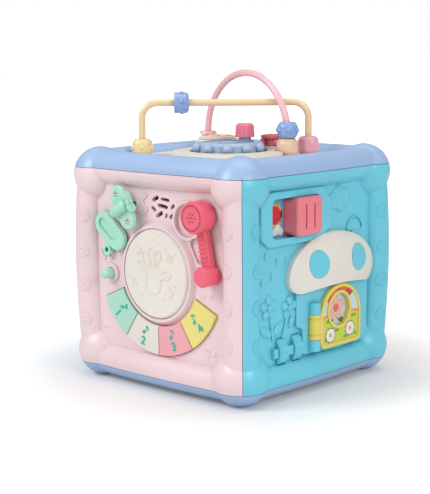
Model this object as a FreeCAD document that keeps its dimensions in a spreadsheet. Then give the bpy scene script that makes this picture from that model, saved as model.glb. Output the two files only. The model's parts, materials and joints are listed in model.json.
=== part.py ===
import FreeCAD, Part
import math
import os
import re

# Baby activity cube: a rounded box on ball feet with a drum and key face, a mushroom house face,
# a top deck of gears, dials and bead wires, two plain faces, and its works inside.
# Millimetres. Origin on the floor under the middle of the cube, +Z up.
# The drum face looks along -Y and the mushroom house face along +X.

os.makedirs("parts", exist_ok=True)
doc = FreeCAD.newDocument("ActivityCube")

# ---------------------------------------------------------------- driving dimensions
SIZES = {
    # case
    "ball_radius": 17.5, "ball_spread": 60.0, "ball_low": 17.2, "ball_high": 132.5,
    "frame_radius": 10.57, "frame_offset": 63.2, "frame_bow": 2.0, "rail_low": 13.2, "rail_high": 137.4,
    "flat": 68.4, "wall": 3.0, "seam_low": 10.0, "seam_high": 137.5, "seam_gap": 0.15,
    "floor_low": 7.0, "ledge_top": 140.4, "ledge_inner": 46.0, "deck_top": 143.0,
    "motif_radius": 4.6, "motif_rise": 0.45,
    # drum and keys
    "drum_radius": 27.9, "drum_z": 75.0, "drum_rise": 3.6, "drum_stroke": 2.0, "drum_gap": 0.4,
    "ring_base": 32.2, "ring_top": 30.0, "ring_rise": 2.8,
    "key_centre_x": 0.6, "key_centre_z": 76.5, "key_inner": 34.2, "key_outer": 53.0,
    "key_first": 203.8, "key_span": 33.1, "key_gap": 0.45, "key_rise": 2.0, "key_stroke": 1.6,
    "flange": 1.5, "flange_width": 1.8,
    # airplane
    "slot_x": -28.1, "slot_z": 112.1, "slot_length": 20.8, "slot_width": 3.6, "flight_angle": 31.0,
    "plane_along": 5.2, "wing_low": 5.5, "wing_thick": 2.8, "wing_length": 29.0, "wing_width": 12.6,
    "body_radius": 3.6, "body_length": 13.0, "body_height": 9.2, "prop_radius": 7.0, "prop_bore": 1.1,
    # paddle, peg
    "paddle_x": -38.9, "paddle_z": 98.4, "paddle_low": 2.3, "paddle_thick": 2.9, "paddle_length": 29.4,
    "paddle_width": 15.0, "paddle_angle": -37.5, "pivot_radius": 2.0, "fit_gap": 0.08,
    "peg_x": -42.3, "peg_z": 70.8, "peg_radius": 3.25, "peg_rise": 8.2, "peg_crown": 2.8, "peg_stroke": 4.0, "peg_collar": 6.3,
    # handset and cradle
    "phone_x": 46.5, "phone_z": 79.5, "mouth_radius": 6.2, "ear_x": 39.8, "ear_z": 114.0, "ear_radius": 9.8,
    "phone_low": 1.7, "phone_rise": 12.2, "handle_width": 7.2, "handle_rise": 6.6, "phone_swing": 24.0,
    "cradle_radius": 10.6, "cradle_depth": 1.5, "cradle_rim": 1.2,
    # window and slider
    "window_left": -44.0, "window_right": 1.5, "window_low": 99.4, "window_high": 123.6, "window_rise": 2.6,
    "slider_width": 24.3, "slider_rise": 7.0, "slider_right": -1.2, "slider_gap": 0.35, "card_thick": 0.8,
    # mushroom
    "cap_y": 14.0, "cap_z": 74.5, "cap_half": 42.5, "cap_top": 98.8, "cap_bottom": 64.3, "cap_rise": 10.2,
    "spot_spread": 20.0, "spot_z": 81.0, "spot_radius": 8.7, "stem_rise": 2.4,
    # door
    "hinge_y": -4.8, "hinge_rise": 3.2, "knuckle_radius": 4.2, "knuckle_low": 25.8, "barrel_low": 33.3,
    "barrel_high": 49.0, "knuckle_high": 56.4, "pin_radius": 1.2, "door_right": 41.5, "door_low": 25.3,
    "door_high": 65.3, "door_thick": 2.6, "door_lift": 0.3, "porthole_y": 18.6, "porthole_z": 48.8,
    "porthole_radius": 10.5, "door_picture_radius": 13.0,
    # click wheels
    "wheel_radius": 9.8, "wheel_thick": 7.0, "wheel_y": -34.3, "wheel_pitch": 14.3, "wheel_z": 30.0,
    "wheel_rise": 4.8, "wheel_axle": 1.5, "wheel_gap": 0.6,
    # top deck
    "gear_x": -1.8, "gear_y": -1.6, "gear_lift": 2.2, "gear_thick": 6.6, "gear_body": 18.6,
    "gear_pitch": 21.0, "tooth_radius": 3.2, "gear_teeth": 10, "shaft_radius": 2.5, "run_gap": 0.06,
    "crank_angle": 79.0, "crank_arm": 13.2, "crank_radius": 6.4, "crank_gap": 2.5, "crank_height": 8.7,
    "dial_x": -33.6, "dial_y": 22.0, "dial_radius": 12.2, "dial_lift": 8.3, "dial_thick": 1.9,
    "spinner_x": 8.9, "spinner_y": 34.0, "spinner_lift": 5.2, "spinner_height": 6.4, "spinner_body": 9.8,
    "spinner_pitch": 10.4, "bump_radius": 2.2, "platform_rise": 1.8, "platform_radius": 31.0,
    # wires and beads
    "wire_radius": 2.25, "socket_floor": 0.6, "yellow_left": 58.4, "yellow_right": 49.4, "yellow_back": 8.0,
    "yellow_height": 33.5, "yellow_bend": 10.0, "pink_left_x": -49.6, "pink_left_y": 30.4, "pink_right_x": 29.2, "pink_right_y": 20.2,
    "pink_height": 54.0, "pedestal_height": 11.6, "bead_gap": 0.35, "bead_loose": 1.2,
    "runner_along": -32.6, "runner_length": 9.4,
    "lip_rise": 4.0, "lip_thick": 2.0, "post_radius": 2.2, "board_depth": 10.0, "screw_spread": 40.0,
}

# Heights above the floor that add up from sizes.
LEVELS = {
    "platform_top": ("deck_top", "platform_rise"),
    "gear_low": ("deck_top", "gear_lift"),
    "gear_high": ("gear_low", "gear_thick"),
    "crank_low": ("gear_high", "crank_gap"),
    "crank_high": ("crank_low", "crank_height"),
    "dial_low": ("deck_top", "dial_lift"),
    "dial_high": ("dial_low", "dial_thick"),
    "spinner_low": ("deck_top", "spinner_lift"),
    "spinner_high": ("spinner_low", "spinner_height"),
    "yellow_top": ("deck_top", "yellow_height"),
    "pink_top": ("deck_top", "pink_height"),
    "pink_foot": ("deck_top", "pedestal_height"),
}

sheet = doc.addObject("Spreadsheet::Sheet", "Sizes")
for row, (name, number) in enumerate(SIZES.items(), start=1):
    sheet.set("A%d" % row, name)
    sheet.set("B%d" % row, str(number))
    sheet.setAlias("B%d" % row, name)
doc.recompute()


def size(name):
    """One driving dimension, read from the sheet, or a level that adds up from them."""
    if name in LEVELS:
        return sum(size(part) for part in LEVELS[name])
    return float(getattr(sheet, name))


def cell(name):
    """A name in a formula, pointed at its cell or written out as the cells that it adds up."""
    if name in LEVELS:
        return "(" + " + ".join(cell(part) for part in LEVELS[name]) + ")"
    return "Sizes." + name if name in SIZES else name


def bound(formula):
    """The formula with each sheet name pointed at its cell."""
    return re.sub(r"[a-z]\w*", lambda word: cell(word.group()), str(formula))


def tie(obj, prop, formula):
    """Bind a property of an object to a formula of sheet names."""
    obj.setExpression(prop, bound(formula))


# ---------------------------------------------------------------- faces of the cube
# On each face u runs to the right, v up, and w straight out of the cube from its middle.
TURN = {
    "front": FreeCAD.Rotation(FreeCAD.Vector(1, 0, 0), 90),
    "right": FreeCAD.Rotation(FreeCAD.Vector(1, 1, 1), 120),
    "top": FreeCAD.Rotation(),
}
AXES = {"front": ("u", "-w", "v"), "right": ("w", "u", "v"), "top": ("u", "v", "w")}


def seat(obj, face, u, v, w, angle=0.0, tilt=None):
    """Place an object on a face, turned in the face's plane by an angle in degrees."""
    turn = TURN[face] * FreeCAD.Rotation(FreeCAD.Vector(0, 0, 1), float(angle))
    if tilt is not None:
        turn = turn * tilt
    obj.Placement = FreeCAD.Placement(FreeCAD.Vector(), turn)
    place = {"u": "(%s)" % u, "v": "(%s)" % v, "w": "(%s)" % w, "-w": "-(%s)" % w}
    for axis, key in zip("xyz", AXES[face]):
        tie(obj, "Placement.Base." + axis, place[key])
    return obj


def rod(name, face, u, v, w, radius, length, tilt=None, angle=0.0):
    """A cylinder that stands out of a face."""
    obj = doc.addObject("Part::Cylinder", name)
    tie(obj, "Radius", radius)
    tie(obj, "Height", length)
    return seat(obj, face, u, v, w, angle, tilt)


def taper(name, face, u, v, w, low_radius, high_radius, length):
    """A cone frustum that stands out of a face."""
    obj = doc.addObject("Part::Cone", name)
    tie(obj, "Radius1", low_radius)
    tie(obj, "Radius2", high_radius)
    tie(obj, "Height", length)
    return seat(obj, face, u, v, w)


def ball(name, face, u, v, w, radius, angle=0.0):
    obj = doc.addObject("Part::Sphere", name)
    tie(obj, "Radius", radius)
    return seat(obj, face, u, v, w, angle)


def egg(name, face, u, v, w, half_u, half_v, half_w, angle=0.0):
    """An ellipsoid with its three half axes along u, v and w."""
    obj = doc.addObject("Part::Ellipsoid", name)
    obj.Angle1 = -90
    obj.Angle2 = 90
    tie(obj, "Radius1", half_w)
    tie(obj, "Radius2", half_u)
    tie(obj, "Radius3", half_v)
    return seat(obj, face, u, v, w, angle)


def dome(name, face, u, v, radius, rise):
    """A low round dome that stands on the flat of a face."""
    sphere = (radius ** 2 + rise ** 2) / (2 * rise)
    cap = ball(name + "_sphere", face, u, v, "flat + %.4f" % (rise - sphere), sphere)
    return common(name, cap, rod(name + "_trim", face, u, v, "flat - 0.5", radius, rise + 1))


def brick(name, face, u, v, w, across, up, out, angle=0.0):
    """A box with its low corner at u, v, w."""
    obj = doc.addObject("Part::Box", name)
    tie(obj, "Length", across)
    tie(obj, "Width", up)
    tie(obj, "Height", out)
    return seat(obj, face, u, v, w, angle)


def ring(name, face, u, v, w, major, minor, sweep=360.0, angle=0.0, tilt=None):
    obj = doc.addObject("Part::Torus", name)
    tie(obj, "Radius1", major)
    tie(obj, "Radius2", minor)
    obj.Angle3 = sweep
    return seat(obj, face, u, v, w, angle, tilt)


def fuse(name, shapes):
    obj = doc.addObject("Part::MultiFuse", name)
    obj.Shapes = shapes
    return obj


def cut(name, base, tools):
    obj = doc.addObject("Part::Cut", name)
    obj.Base = base
    obj.Tool = tools[0] if len(tools) == 1 else fuse(name + "_tools", tools)
    return obj


def common(name, first, second):
    obj = doc.addObject("Part::Common", name)
    obj.Base = first
    obj.Tool = second
    return obj


# ---------------------------------------------------------------- outlines in the plane of a face
def point(u, v):
    return FreeCAD.Vector(u, v, 0)


def arc(u, v, radius, start, end):
    """An arc about u, v from one angle to another, in degrees and anticlockwise."""
    circle = Part.Circle(point(u, v), FreeCAD.Vector(0, 0, 1), radius)
    return Part.ArcOfCircle(circle, math.radians(start), math.radians(end))


def on_circle(u, v, radius, degrees):
    return point(u + radius * math.cos(math.radians(degrees)), v + radius * math.sin(math.radians(degrees)))


def disc(u, v, radius):
    return [Part.Circle(point(u, v), FreeCAD.Vector(0, 0, 1), radius)]


def sector(u, v, inner, outer, start, end, trim):
    """A fan piece between two radii, with its straight sides moved in by trim."""
    lean_in = math.degrees(math.asin(trim / inner))
    lean_out = math.degrees(math.asin(trim / outer))
    corners = [on_circle(u, v, inner, start + lean_in), on_circle(u, v, outer, start + lean_out),
               on_circle(u, v, outer, end - lean_out), on_circle(u, v, inner, end - lean_in)]
    return [Part.LineSegment(corners[0], corners[1]), arc(u, v, outer, start + lean_out, end - lean_out),
            Part.LineSegment(corners[2], corners[3]), arc(u, v, inner, start + lean_in, end - lean_in)]


def rounded(corners, radius):
    """A closed outline of straight sides, given anticlockwise, with every corner rounded."""
    edges = []
    ends = []
    count = len(corners)
    for index in range(count):
        here = corners[index]
        before = (corners[index - 1] - here).normalize()
        after = (corners[(index + 1) % count] - here).normalize()
        half = before.getAngle(after) / 2
        reach = radius / math.tan(half)
        start = here + before * reach
        end = here + after * reach
        middle = here + (before + after).normalize() * (radius / math.sin(half) - radius)
        edges.append(Part.Arc(start, middle, end))
        ends.append((start, end))
    for index in range(count):
        edges.append(Part.LineSegment(ends[index - 1][1], ends[index][0]))
    return edges


def plate(u0, u1, v0, v1, radius):
    return rounded([point(u0, v0), point(u1, v0), point(u1, v1), point(u0, v1)], radius)


def slot(u, v, length, width, degrees):
    """A straight slot with round ends, its middle at u, v."""
    reach = length / 2 - width / 2
    near = on_circle(u, v, reach, degrees + 180)
    far = on_circle(u, v, reach, degrees)
    side = on_circle(0, 0, width / 2, degrees + 90)
    return [arc(near.x, near.y, width / 2, degrees + 90, degrees + 270),
            Part.LineSegment(near - side, far - side),
            arc(far.x, far.y, width / 2, degrees - 90, degrees + 90),
            Part.LineSegment(far + side, near + side)]


def pad(name, face, edges, w, height, fillet=None, draft=0.0):
    """A PartDesign body: one or more closed outlines on a face, raised from w by height."""
    body = doc.addObject("PartDesign::Body", name)
    plane = [item for item in body.Origin.OriginFeatures if item.Role == "XY_Plane"][0]
    sketch = body.newObject("Sketcher::SketchObject", name + "_outline")
    sketch.AttachmentSupport = [(plane, "")]
    sketch.MapMode = "FlatFace"
    sketch.addGeometry(edges, False)
    raised = body.newObject("PartDesign::Pad", name + "_pad")
    raised.Profile = sketch
    tie(raised, "Length", height)
    raised.TaperAngle = draft
    body.Tip = raised
    seat(body, face, 0, 0, w)
    if fillet:
        doc.recompute()
        faces = raised.Shape.Faces
        top = max(range(len(faces)), key=lambda index: faces[index].CenterOfMass.z)
        soft = body.newObject("PartDesign::Fillet", name + "_fillet")
        soft.Base = (raised, ["Face%d" % (top + 1)])
        soft.Radius = fillet
        body.Tip = soft
    return body


NODES = {}


def node(name, obj):
    """Name the finished object of one sub-part."""
    obj.Label = name
    NODES[name] = obj
    return obj


# ---------------------------------------------------------------- case: frame, balls and core
def bowed_rail(name, facing, height):
    """A rail between two balls along one side of the cube, bowed outwards."""
    half = size("ball_spread")
    bow = size("frame_bow")
    major = (half ** 2 + bow ** 2) / (2 * bow)
    sweep = 2 * math.degrees(math.asin(half / major))
    reach = "frame_offset + frame_bow - (ball_spread^2 + frame_bow^2) / (2 * frame_bow)"
    u = "(%s) * %d" % (reach, round(math.cos(math.radians(facing))))
    v = "(%s) * %d" % (reach, round(math.sin(math.radians(facing))))
    return ring(name, "top", u, v, height, "(ball_spread^2 + frame_bow^2) / (2 * frame_bow)",
                "frame_radius", sweep, facing - sweep / 2)


def bowed_column(name, facing):
    """A corner column between a low and a high ball, bowed outwards along the diagonal."""
    half = (size("ball_high") - size("ball_low")) / 2
    bow = size("frame_bow") * math.sqrt(2)
    major = (half ** 2 + bow ** 2) / (2 * bow)
    sweep = 2 * math.degrees(math.asin(half / major))
    reach = (size("frame_offset") + size("frame_bow")) * math.sqrt(2) - major
    middle = (size("ball_high") + size("ball_low")) / 2
    upright = FreeCAD.Rotation(FreeCAD.Vector(1, 0, 0), 90)
    lead = FreeCAD.Rotation(FreeCAD.Vector(0, 0, 1), -sweep / 2)
    column = doc.addObject("Part::Torus", name)
    column.Radius1 = major
    tie(column, "Radius2", "frame_radius")
    column.Angle3 = sweep
    turn = FreeCAD.Rotation(FreeCAD.Vector(0, 0, 1), facing) * upright * lead
    base = FreeCAD.Vector(reach * math.cos(math.radians(facing)), reach * math.sin(math.radians(facing)), middle)
    column.Placement = FreeCAD.Placement(base, turn)
    return column


def case_form():
    """The closed outer form of the cube: flat core, columns, rails and corner balls."""
    core = brick("core", "top", "-flat", "-flat", "floor_low", "2 * flat", "2 * flat", "ledge_top - floor_low")
    pieces = []
    for side in range(4):
        pieces.append(bowed_column("column_%d" % side, 45 + 90 * side))
        pieces.append(bowed_rail("rail_low_%d" % side, 90 * side, "rail_low"))
        pieces.append(bowed_rail("rail_high_%d" % side, 90 * side, "rail_high"))
        along = 1 if side in (0, 3) else -1
        across = 1 if side in (0, 1) else -1
        for level in ("ball_low", "ball_high"):
            pieces.append(ball("%s_%d" % (level, side), "top", "%d * ball_spread" % along,
                               "%d * ball_spread" % across, level, "ball_radius"))
    return fuse("case_form", [core, fuse("case_skeleton", pieces)])


form = case_form()
SPAN = 400.0


def wedge(name, facing):
    """The quarter of the cube that looks one way, between two corner seams."""
    quarter = doc.addObject("Part::Box", name)
    quarter.Length = SPAN / 2
    quarter.Width = SPAN / 2
    tie(quarter, "Height", "seam_high - seam_low - 2 * seam_gap")
    quarter.Placement.Rotation = FreeCAD.Rotation(FreeCAD.Vector(0, 0, 1), facing - 45)
    tie(quarter, "Placement.Base.x", "seam_gap * %.6f" % (1.414214 * math.cos(math.radians(facing))))
    tie(quarter, "Placement.Base.y", "seam_gap * %.6f" % (1.414214 * math.sin(math.radians(facing))))
    tie(quarter, "Placement.Base.z", "seam_low + seam_gap")
    return quarter


def side_shell(name, facing):
    """One side panel with its halves of the columns and rails, hollow behind its wall."""
    block = common(name + "_block", form, wedge(name + "_wedge", facing))
    hollow = brick(name + "_hollow", "top", "wall - flat", "wall - flat", "seam_low - wall",
                   "2 * (flat - wall)", "2 * (flat - wall)", "seam_high - seam_low + 2 * wall")
    return cut(name + "_shell", block, [hollow])


# ---------------------------------------------------------------- drum face
def motifs(name, face):
    """Low round motifs down both columns of a face."""
    skins = []
    heights = (107.0, 84.0, 62.0, 39.0)
    for side in (-1, 1):
        facing = {"front": -90, "right": 0}[face] + 45 * side
        skin = bowed_column("%s_skin_%d" % (name, side + 1), facing)
        tie(skin, "Radius2", "frame_radius + motif_rise")
        marks = [rod("%s_mark_%d_%d" % (name, side + 1, row), face, "%d * (frame_offset - 0.8)" % side, level,
                     "flat", "motif_radius - %.1f" % (0.5 * (row % 2)), "frame_radius")
                 for row, level in enumerate(heights)]
        skins.append(common("%s_side_%d" % (name, side + 1), skin, fuse("%s_marks_%d" % (name, side + 1), marks)))
    return skins


GRILLE = [(-2.0, 121.3, 6.2, 2.6, 25), (6.3, 121.2, 7.6, 2.0, -6), (-3.6, 114.9, 4.6, 2.4, -35),
          (4.2, 117.0, 9.0, 2.4, -8), (12.6, 117.4, 4.2, 2.2, 40), (1.4, 111.9, 6.4, 2.6, 30),
          (7.2, 111.4, 3.2, 2.0, 70), (11.8, 111.6, 4.6, 2.4, 35)]


BOARD_POSTS = [(-38.0, 24.0), (42.0, 24.0), (-41.0, 62.0), (43.0, 64.0)]


def front_panel():
    shell = side_shell("front", -90)
    through = "flat - 2 * wall"
    depth = "4 * wall"
    added = [taper("drum_ring_wall", "front", 0, "drum_z", "flat - 0.5", "ring_base + 0.4", "ring_top",
                   "ring_rise + 0.5"),
             rod("peg_ring", "front", "peg_x", "peg_z", "flat - 1", "peg_collar", "2.3"),
             rod("cradle_wall", "front", "phone_x - 21.2", "phone_z + 30.5", "flat - 1", "cradle_radius + 1.4",
                 "1 + cradle_rim")]
    dots = [(37.5, 65.5, 2.0), (43.6, 66.0, 2.2), (-49.6, 35.5, 2.4), (41.0, 33.6, 2.2), (46.0, 31.4, 2.2),
            (41.2, 29.6, 1.8), (-11.6, 124.4, 1.3), (-8.2, 108.0, 1.2)]
    for row, (u, v, radius) in enumerate(dots):
        added.append(dome("dome_%d" % row, "front", u, v, radius, 0.9))
    for row, (u, v, angle) in enumerate([(-11.3, 121.4, -140), (-11.4, 117.0, -50), (-10.8, 112.6, -140),
                                         (-50.6, 82.2, -60), (-47.6, 81.6, 60), (-44.6, 82.0, -60),
                                         (-41.6, 81.8, 60)]):
        added.append(pad("groove_line_%d" % row, "front", slot(u, v, 6.4, 1.3, angle), "flat - 0.5", "1.2"))
    added += motifs("front_motif", "front")
    for row, (u, v) in enumerate(BOARD_POSTS):
        added.append(rod("board_post_%d" % row, "front", u, v, "flat - wall - board_depth + 1.6", "post_radius",
                         "board_depth - 1.6 + 0.5"))
    solid = fuse("front_full", [shell] + added)
    swing = [pad("handle_bed", "front", slot(33.5, 92.0, 17.0, 7.8, 120), "flat - cradle_depth", "6"),
             rod("ear_bed", "front", "phone_x - 21.2", "phone_z + 30.5", "flat - cradle_depth",
                 "cradle_radius - 0.3", "6")]
    key_hole = pad("key_hole", "front",
                   sector(size("key_centre_x"), size("key_centre_z"), size("key_inner") - 0.35,
                          size("key_outer") + 0.35, size("key_first"),
                          size("key_first") + 4 * size("key_span"), -0.35), through, depth)
    tools = [rod("drum_hole", "front", 0, "drum_z", through, "drum_radius + drum_gap", depth), key_hole,
             rod("peg_hole", "front", "peg_x", "peg_z", through, "peg_radius + 0.3", depth),
             rod("paddle_hole", "front", "paddle_x", "paddle_z", through, "pivot_radius + fit_gap", depth),
             rod("phone_hole", "front", "phone_x", "phone_z", through, "pivot_radius + fit_gap", depth),
             pad("plane_slot", "front", slot(size("slot_x"), size("slot_z"), size("slot_length"),
                                             size("slot_width"), size("flight_angle")), through, depth)]
    for row, (u, v, length, width, angle) in enumerate(GRILLE):
        tools.append(pad("grille_%d" % row, "front", slot(u, v, length, width, angle), through, depth))
    node("front_panel", cut("front_panel", solid, swing + tools))


def drum_head():
    skin = rod("drum_skin", "front", 0, "drum_z", "flat - wall - 0.2", "drum_radius",
               "wall + 0.2 + drum_rise - 1.2")
    crown = taper("drum_crown", "front", 0, "drum_z", "flat + drum_rise - 1.2", "drum_radius",
                  "drum_radius - 1.2", "1.2")
    rim = rod("drum_flange", "front", 0, "drum_z", "flat - wall - 0.2 - flange", "drum_radius + flange_width",
              "flange")
    node("drum_head", fuse("drum_head", [skin, crown, rim]))


def key(number):
    """One fan-shaped key, first at the left, with a flange behind the panel."""
    start = size("key_first") + number * size("key_span")
    centre = (size("key_centre_x"), size("key_centre_z"))
    face_outline = sector(*centre, size("key_inner"), size("key_outer"), start, start + size("key_span"),
                          size("key_gap") / 2)
    cap = pad("key_cap_%d" % number, "front", face_outline, "flat - wall - 0.5", "wall + 0.5 + key_rise", 0.7)
    flange_outline = sector(*centre, size("key_inner") - 0.8, size("key_outer") + 1.4, start,
                            start + size("key_span"), size("key_gap") / 2)
    foot = pad("key_foot_%d" % number, "front", flange_outline, "flat - wall - 0.2 - flange", "flange")
    node("key_%d" % (number + 1), fuse("key_%d" % (number + 1), [cap, foot]))


def along_flight(distance, side=0.0):
    """A place on the drum face measured from the middle of the airplane's slot."""
    angle = math.radians(size("flight_angle"))
    u = size("slot_x") + distance * math.cos(angle) - side * math.sin(angle)
    v = size("slot_z") + distance * math.sin(angle) + side * math.cos(angle)
    return u, v


def airplane():
    u, v = along_flight(size("plane_along"))
    angle = size("flight_angle")
    lift = "flat + body_height"
    tilt = FreeCAD.Rotation(FreeCAD.Vector(0, 1, 0), 90)
    nose_u, nose_v = along_flight(size("plane_along") - size("body_length") / 2 + 1)
    hull = rod("hull", "front", nose_u, nose_v, lift, "body_radius", "body_length - 4", tilt, angle)
    tail = ball("tail", "front", nose_u, nose_v, lift, "body_radius")
    cowl_u, cowl_v = along_flight(size("plane_along") + size("body_length") / 2 - 3)
    cowl = ball("cowl", "front", cowl_u, cowl_v, lift, "body_radius")
    wing = pad("wing", "front", slot(u, v, size("wing_length"), size("wing_width"), angle - 91), "flat + wing_low",
               "wing_thick", 1.1)
    fin_u, fin_v = along_flight(size("plane_along") - size("body_length") / 2)
    fin = pad("tailplane", "front", slot(fin_u, fin_v, 10.5, 4.4, angle - 91), "flat + wing_low", "wing_thick", 0.9)
    stem = rod("stem", "front", u, v, "flat - wall - 1.6", "slot_width / 2 - 0.3", "wall + wing_low + 3")
    keeper = rod("keeper", "front", u, v, "flat - wall - 1.8", "slot_width / 2 + 2", "1.5")
    stub_u, stub_v = along_flight(size("plane_along") + size("body_length") / 2 - 1)
    stub = rod("prop_shaft", "front", stub_u, stub_v, lift, "prop_bore", "5.2", tilt, angle)
    node("airplane", fuse("airplane", [hull, tail, cowl, wing, fin, stem, keeper, stub]))


def propeller():
    """Two round blades on a hub that turns about the line of flight."""
    angle = size("flight_angle")
    tilt = FreeCAD.Rotation(FreeCAD.Vector(0, 1, 0), 90)
    hub_u, hub_v = along_flight(size("plane_along") + size("body_length") / 2 + 1.3)
    lift = "flat + body_height"
    hub = rod("prop_hub", "front", hub_u, hub_v, lift, "2.4", "2.4", tilt, angle)
    blades = []
    for side in (-1, 1):
        blade_u, blade_v = along_flight(size("plane_along") + size("body_length") / 2 + 1.8, side * 3.8)
        blades.append(rod("blade_%d" % (side + 1), "front", blade_u, blade_v, lift, "prop_radius - 3.8", "1.5",
                          tilt, angle))
    bore = rod("prop_hole", "front", hub_u, hub_v, lift, "prop_bore + run_gap", "2.9", tilt, angle)
    bore_u, bore_v = along_flight(size("plane_along") + size("body_length") / 2 + 1.0)
    seat(bore, "front", bore_u, bore_v, lift, angle, tilt)
    node("propeller", cut("propeller", fuse("prop_body", [hub] + blades), [bore]))


def paddle():
    """An oval dish on a pivot, with a finger loop at its lower edge."""
    u, v = size("paddle_x"), size("paddle_z")
    angle = size("paddle_angle")
    dish = pad("dish", "front", slot(u, v, size("paddle_length"), size("paddle_width"), angle),
               "flat + paddle_low", "paddle_thick", 0.9)
    well = pad("dish_well", "front", slot(u - 1.5, v + 1.1, size("paddle_length") - 11, size("paddle_width") - 8.5,
                                          angle), "flat + paddle_low + paddle_thick - 1.1", "4")
    loop_u, loop_v = u - 3.6, v - 12.2
    tab = rod("loop_wall", "front", loop_u, loop_v, "flat + 0.8", "3.5", "3.6")
    tab_hole = rod("loop_hole", "front", loop_u, loop_v, "flat", "1.7", "8")
    neck = pad("loop_neck", "front", slot(u - 2.6, v - 8.2, 8.6, 4.4, 76), "flat + paddle_low", "paddle_thick - 0.8")
    pivot = rod("paddle_pin", "front", "paddle_x", "paddle_z", "flat - wall - 1.9", "pivot_radius",
                "wall + 1.9 + paddle_low + 0.5")
    shoulder = rod("paddle_shoulder", "front", "paddle_x", "paddle_z", "flat + 0.2", "pivot_radius + 1.8",
                   "paddle_low")
    clip = rod("paddle_clip", "front", "paddle_x", "paddle_z", "flat - wall - 1.9", "pivot_radius + 1.6", "1.6")
    body = fuse("paddle_body", [dish, tab, neck, pivot, shoulder, clip])
    node("paddle", cut("paddle", body, [well, tab_hole]))


def peg():
    rise = rod("peg_stem", "front", "peg_x", "peg_z", "flat - wall - 0.3", "peg_radius",
               "wall + 0.3 + peg_rise - peg_crown")
    tip = egg("peg_tip", "front", "peg_x", "peg_z", "flat + peg_rise - peg_crown", "peg_radius", "peg_radius",
              "peg_crown")
    foot = rod("peg_foot", "front", "peg_x", "peg_z", "flat - wall - 0.3 - flange", "peg_radius + 1.8", "flange")
    node("peg_button", fuse("peg_button", [rise, tip, foot]))


def handset():
    """A toy telephone receiver that swings on its mouthpiece."""
    ear = rod("ear_cup", "front", "ear_x", "ear_z", "flat + phone_low", "ear_radius",
              "phone_rise - phone_low - 1.4")
    ear_face = taper("ear_face", "front", "ear_x", "ear_z", "flat + phone_rise - 1.4", "ear_radius",
                     "ear_radius - 1.4", "1.4")
    mouth = rod("mouth_cup", "front", "phone_x", "phone_z", "flat + phone_low - 1.2", "mouth_radius",
                "phone_rise - phone_low")
    mouth_face = taper("mouth_face", "front", "phone_x", "phone_z", "flat + phone_rise - 1.2", "mouth_radius",
                       "mouth_radius - 1.2", "1.2")
    du, dv = size("ear_x") - size("phone_x"), size("ear_z") - size("phone_z")
    length = math.hypot(du, dv)
    lean = math.degrees(math.atan2(dv, du))
    middle = (size("phone_x") + du * 0.45, size("phone_z") + dv * 0.45)
    grip = pad("grip", "front", slot(*middle, length, size("handle_width"), lean), "flat + phone_low",
               "handle_rise - phone_low", 1.4)
    ribs = []
    for row in range(6):
        share = 0.27 + 0.075 * row
        ribs.append(pad("rib_%d" % row, "front", slot(size("phone_x") + du * share, size("phone_z") + dv * share,
                                                      size("handle_width") - 1.4, 1.3, lean - 90),
                        "flat + handle_rise - 1", "1.7"))
    pivot = rod("phone_pin", "front", "phone_x", "phone_z", "flat - wall - 1.9", "pivot_radius",
                "wall + 1.9 + phone_low")
    clip = rod("phone_clip", "front", "phone_x", "phone_z", "flat - wall - 1.9", "pivot_radius + 1.6", "1.6")
    body = fuse("handset_body", [ear, ear_face, mouth, mouth_face, grip, pivot, clip] + ribs)
    dish = cut("ear_rim", rod("ear_recess", "front", "ear_x", "ear_z", "flat + phone_rise - 0.7",
                              "ear_radius - 1.9", "3"),
               [rod("ear_disc", "front", "ear_x", "ear_z", "flat + phone_rise - 2", "ear_radius - 2.9", "6")])
    node("handset", cut("handset", body, [dish]))


# ---------------------------------------------------------------- mushroom house face
def window_frame():
    left, right = size("window_left"), size("window_right")
    low, high = size("window_low"), size("window_high")
    outline = rounded([point(left - 10, low + 1), point(left - 2, low - 4.5), point(right + 3, low - 4.5),
                       point(right + 12, low + 5), point(right + 12, high - 6), point(right + 4, high + 4.4),
                       point(left - 1, high + 4.4), point(left - 10, high - 4)], 3.0)
    return pad("window_frame", "right", outline, "flat - 1", "window_rise + 1", 1.2)


def flower(name, u, v, radius):
    """Five low petals round a dimpled middle."""
    petals = [dome("%s_petal_%d" % (name, row), "right", u + radius * 0.62 * math.cos(math.radians(90 + 72 * row)),
                   v + radius * 0.62 * math.sin(math.radians(90 + 72 * row)), radius * 0.42, 1.0)
              for row in range(5)]
    return petals + [rod(name + "_eye", "right", u, v, "flat - 0.5", radius * 0.34, "1.9")]


def mushroom_outline():
    """The cap seen from the front: a half ellipse over two round lobes and a raised underside."""
    middle, half = size("cap_y"), size("cap_half")
    top, bottom = size("cap_top"), size("cap_bottom")
    level = bottom + 8.7
    dome = Part.ArcOfEllipse(Part.Ellipse(point(middle, level), half, top - level), 0.0, math.pi)
    lobe = half - 11.5
    left = [point(middle - half, level), point(middle - half + 3.0, bottom + 2.2), point(middle - lobe, bottom)]
    right = [point(middle + lobe, bottom), point(middle + half - 3.0, bottom + 2.2), point(middle + half, level)]
    return [dome, Part.Arc(*left), Part.Arc(left[2], point(middle, bottom + 2.6), right[0]), Part.Arc(*right)]


def cap_skin(name, lower):
    """The domed skin of the cap, lowered by some depth."""
    return egg(name, "right", "cap_y", "cap_z", "flat", "cap_half + 2 - %s" % lower, "cap_top - cap_z + 1.2 - %s" % lower,
               "cap_rise - %s" % lower)


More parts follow.
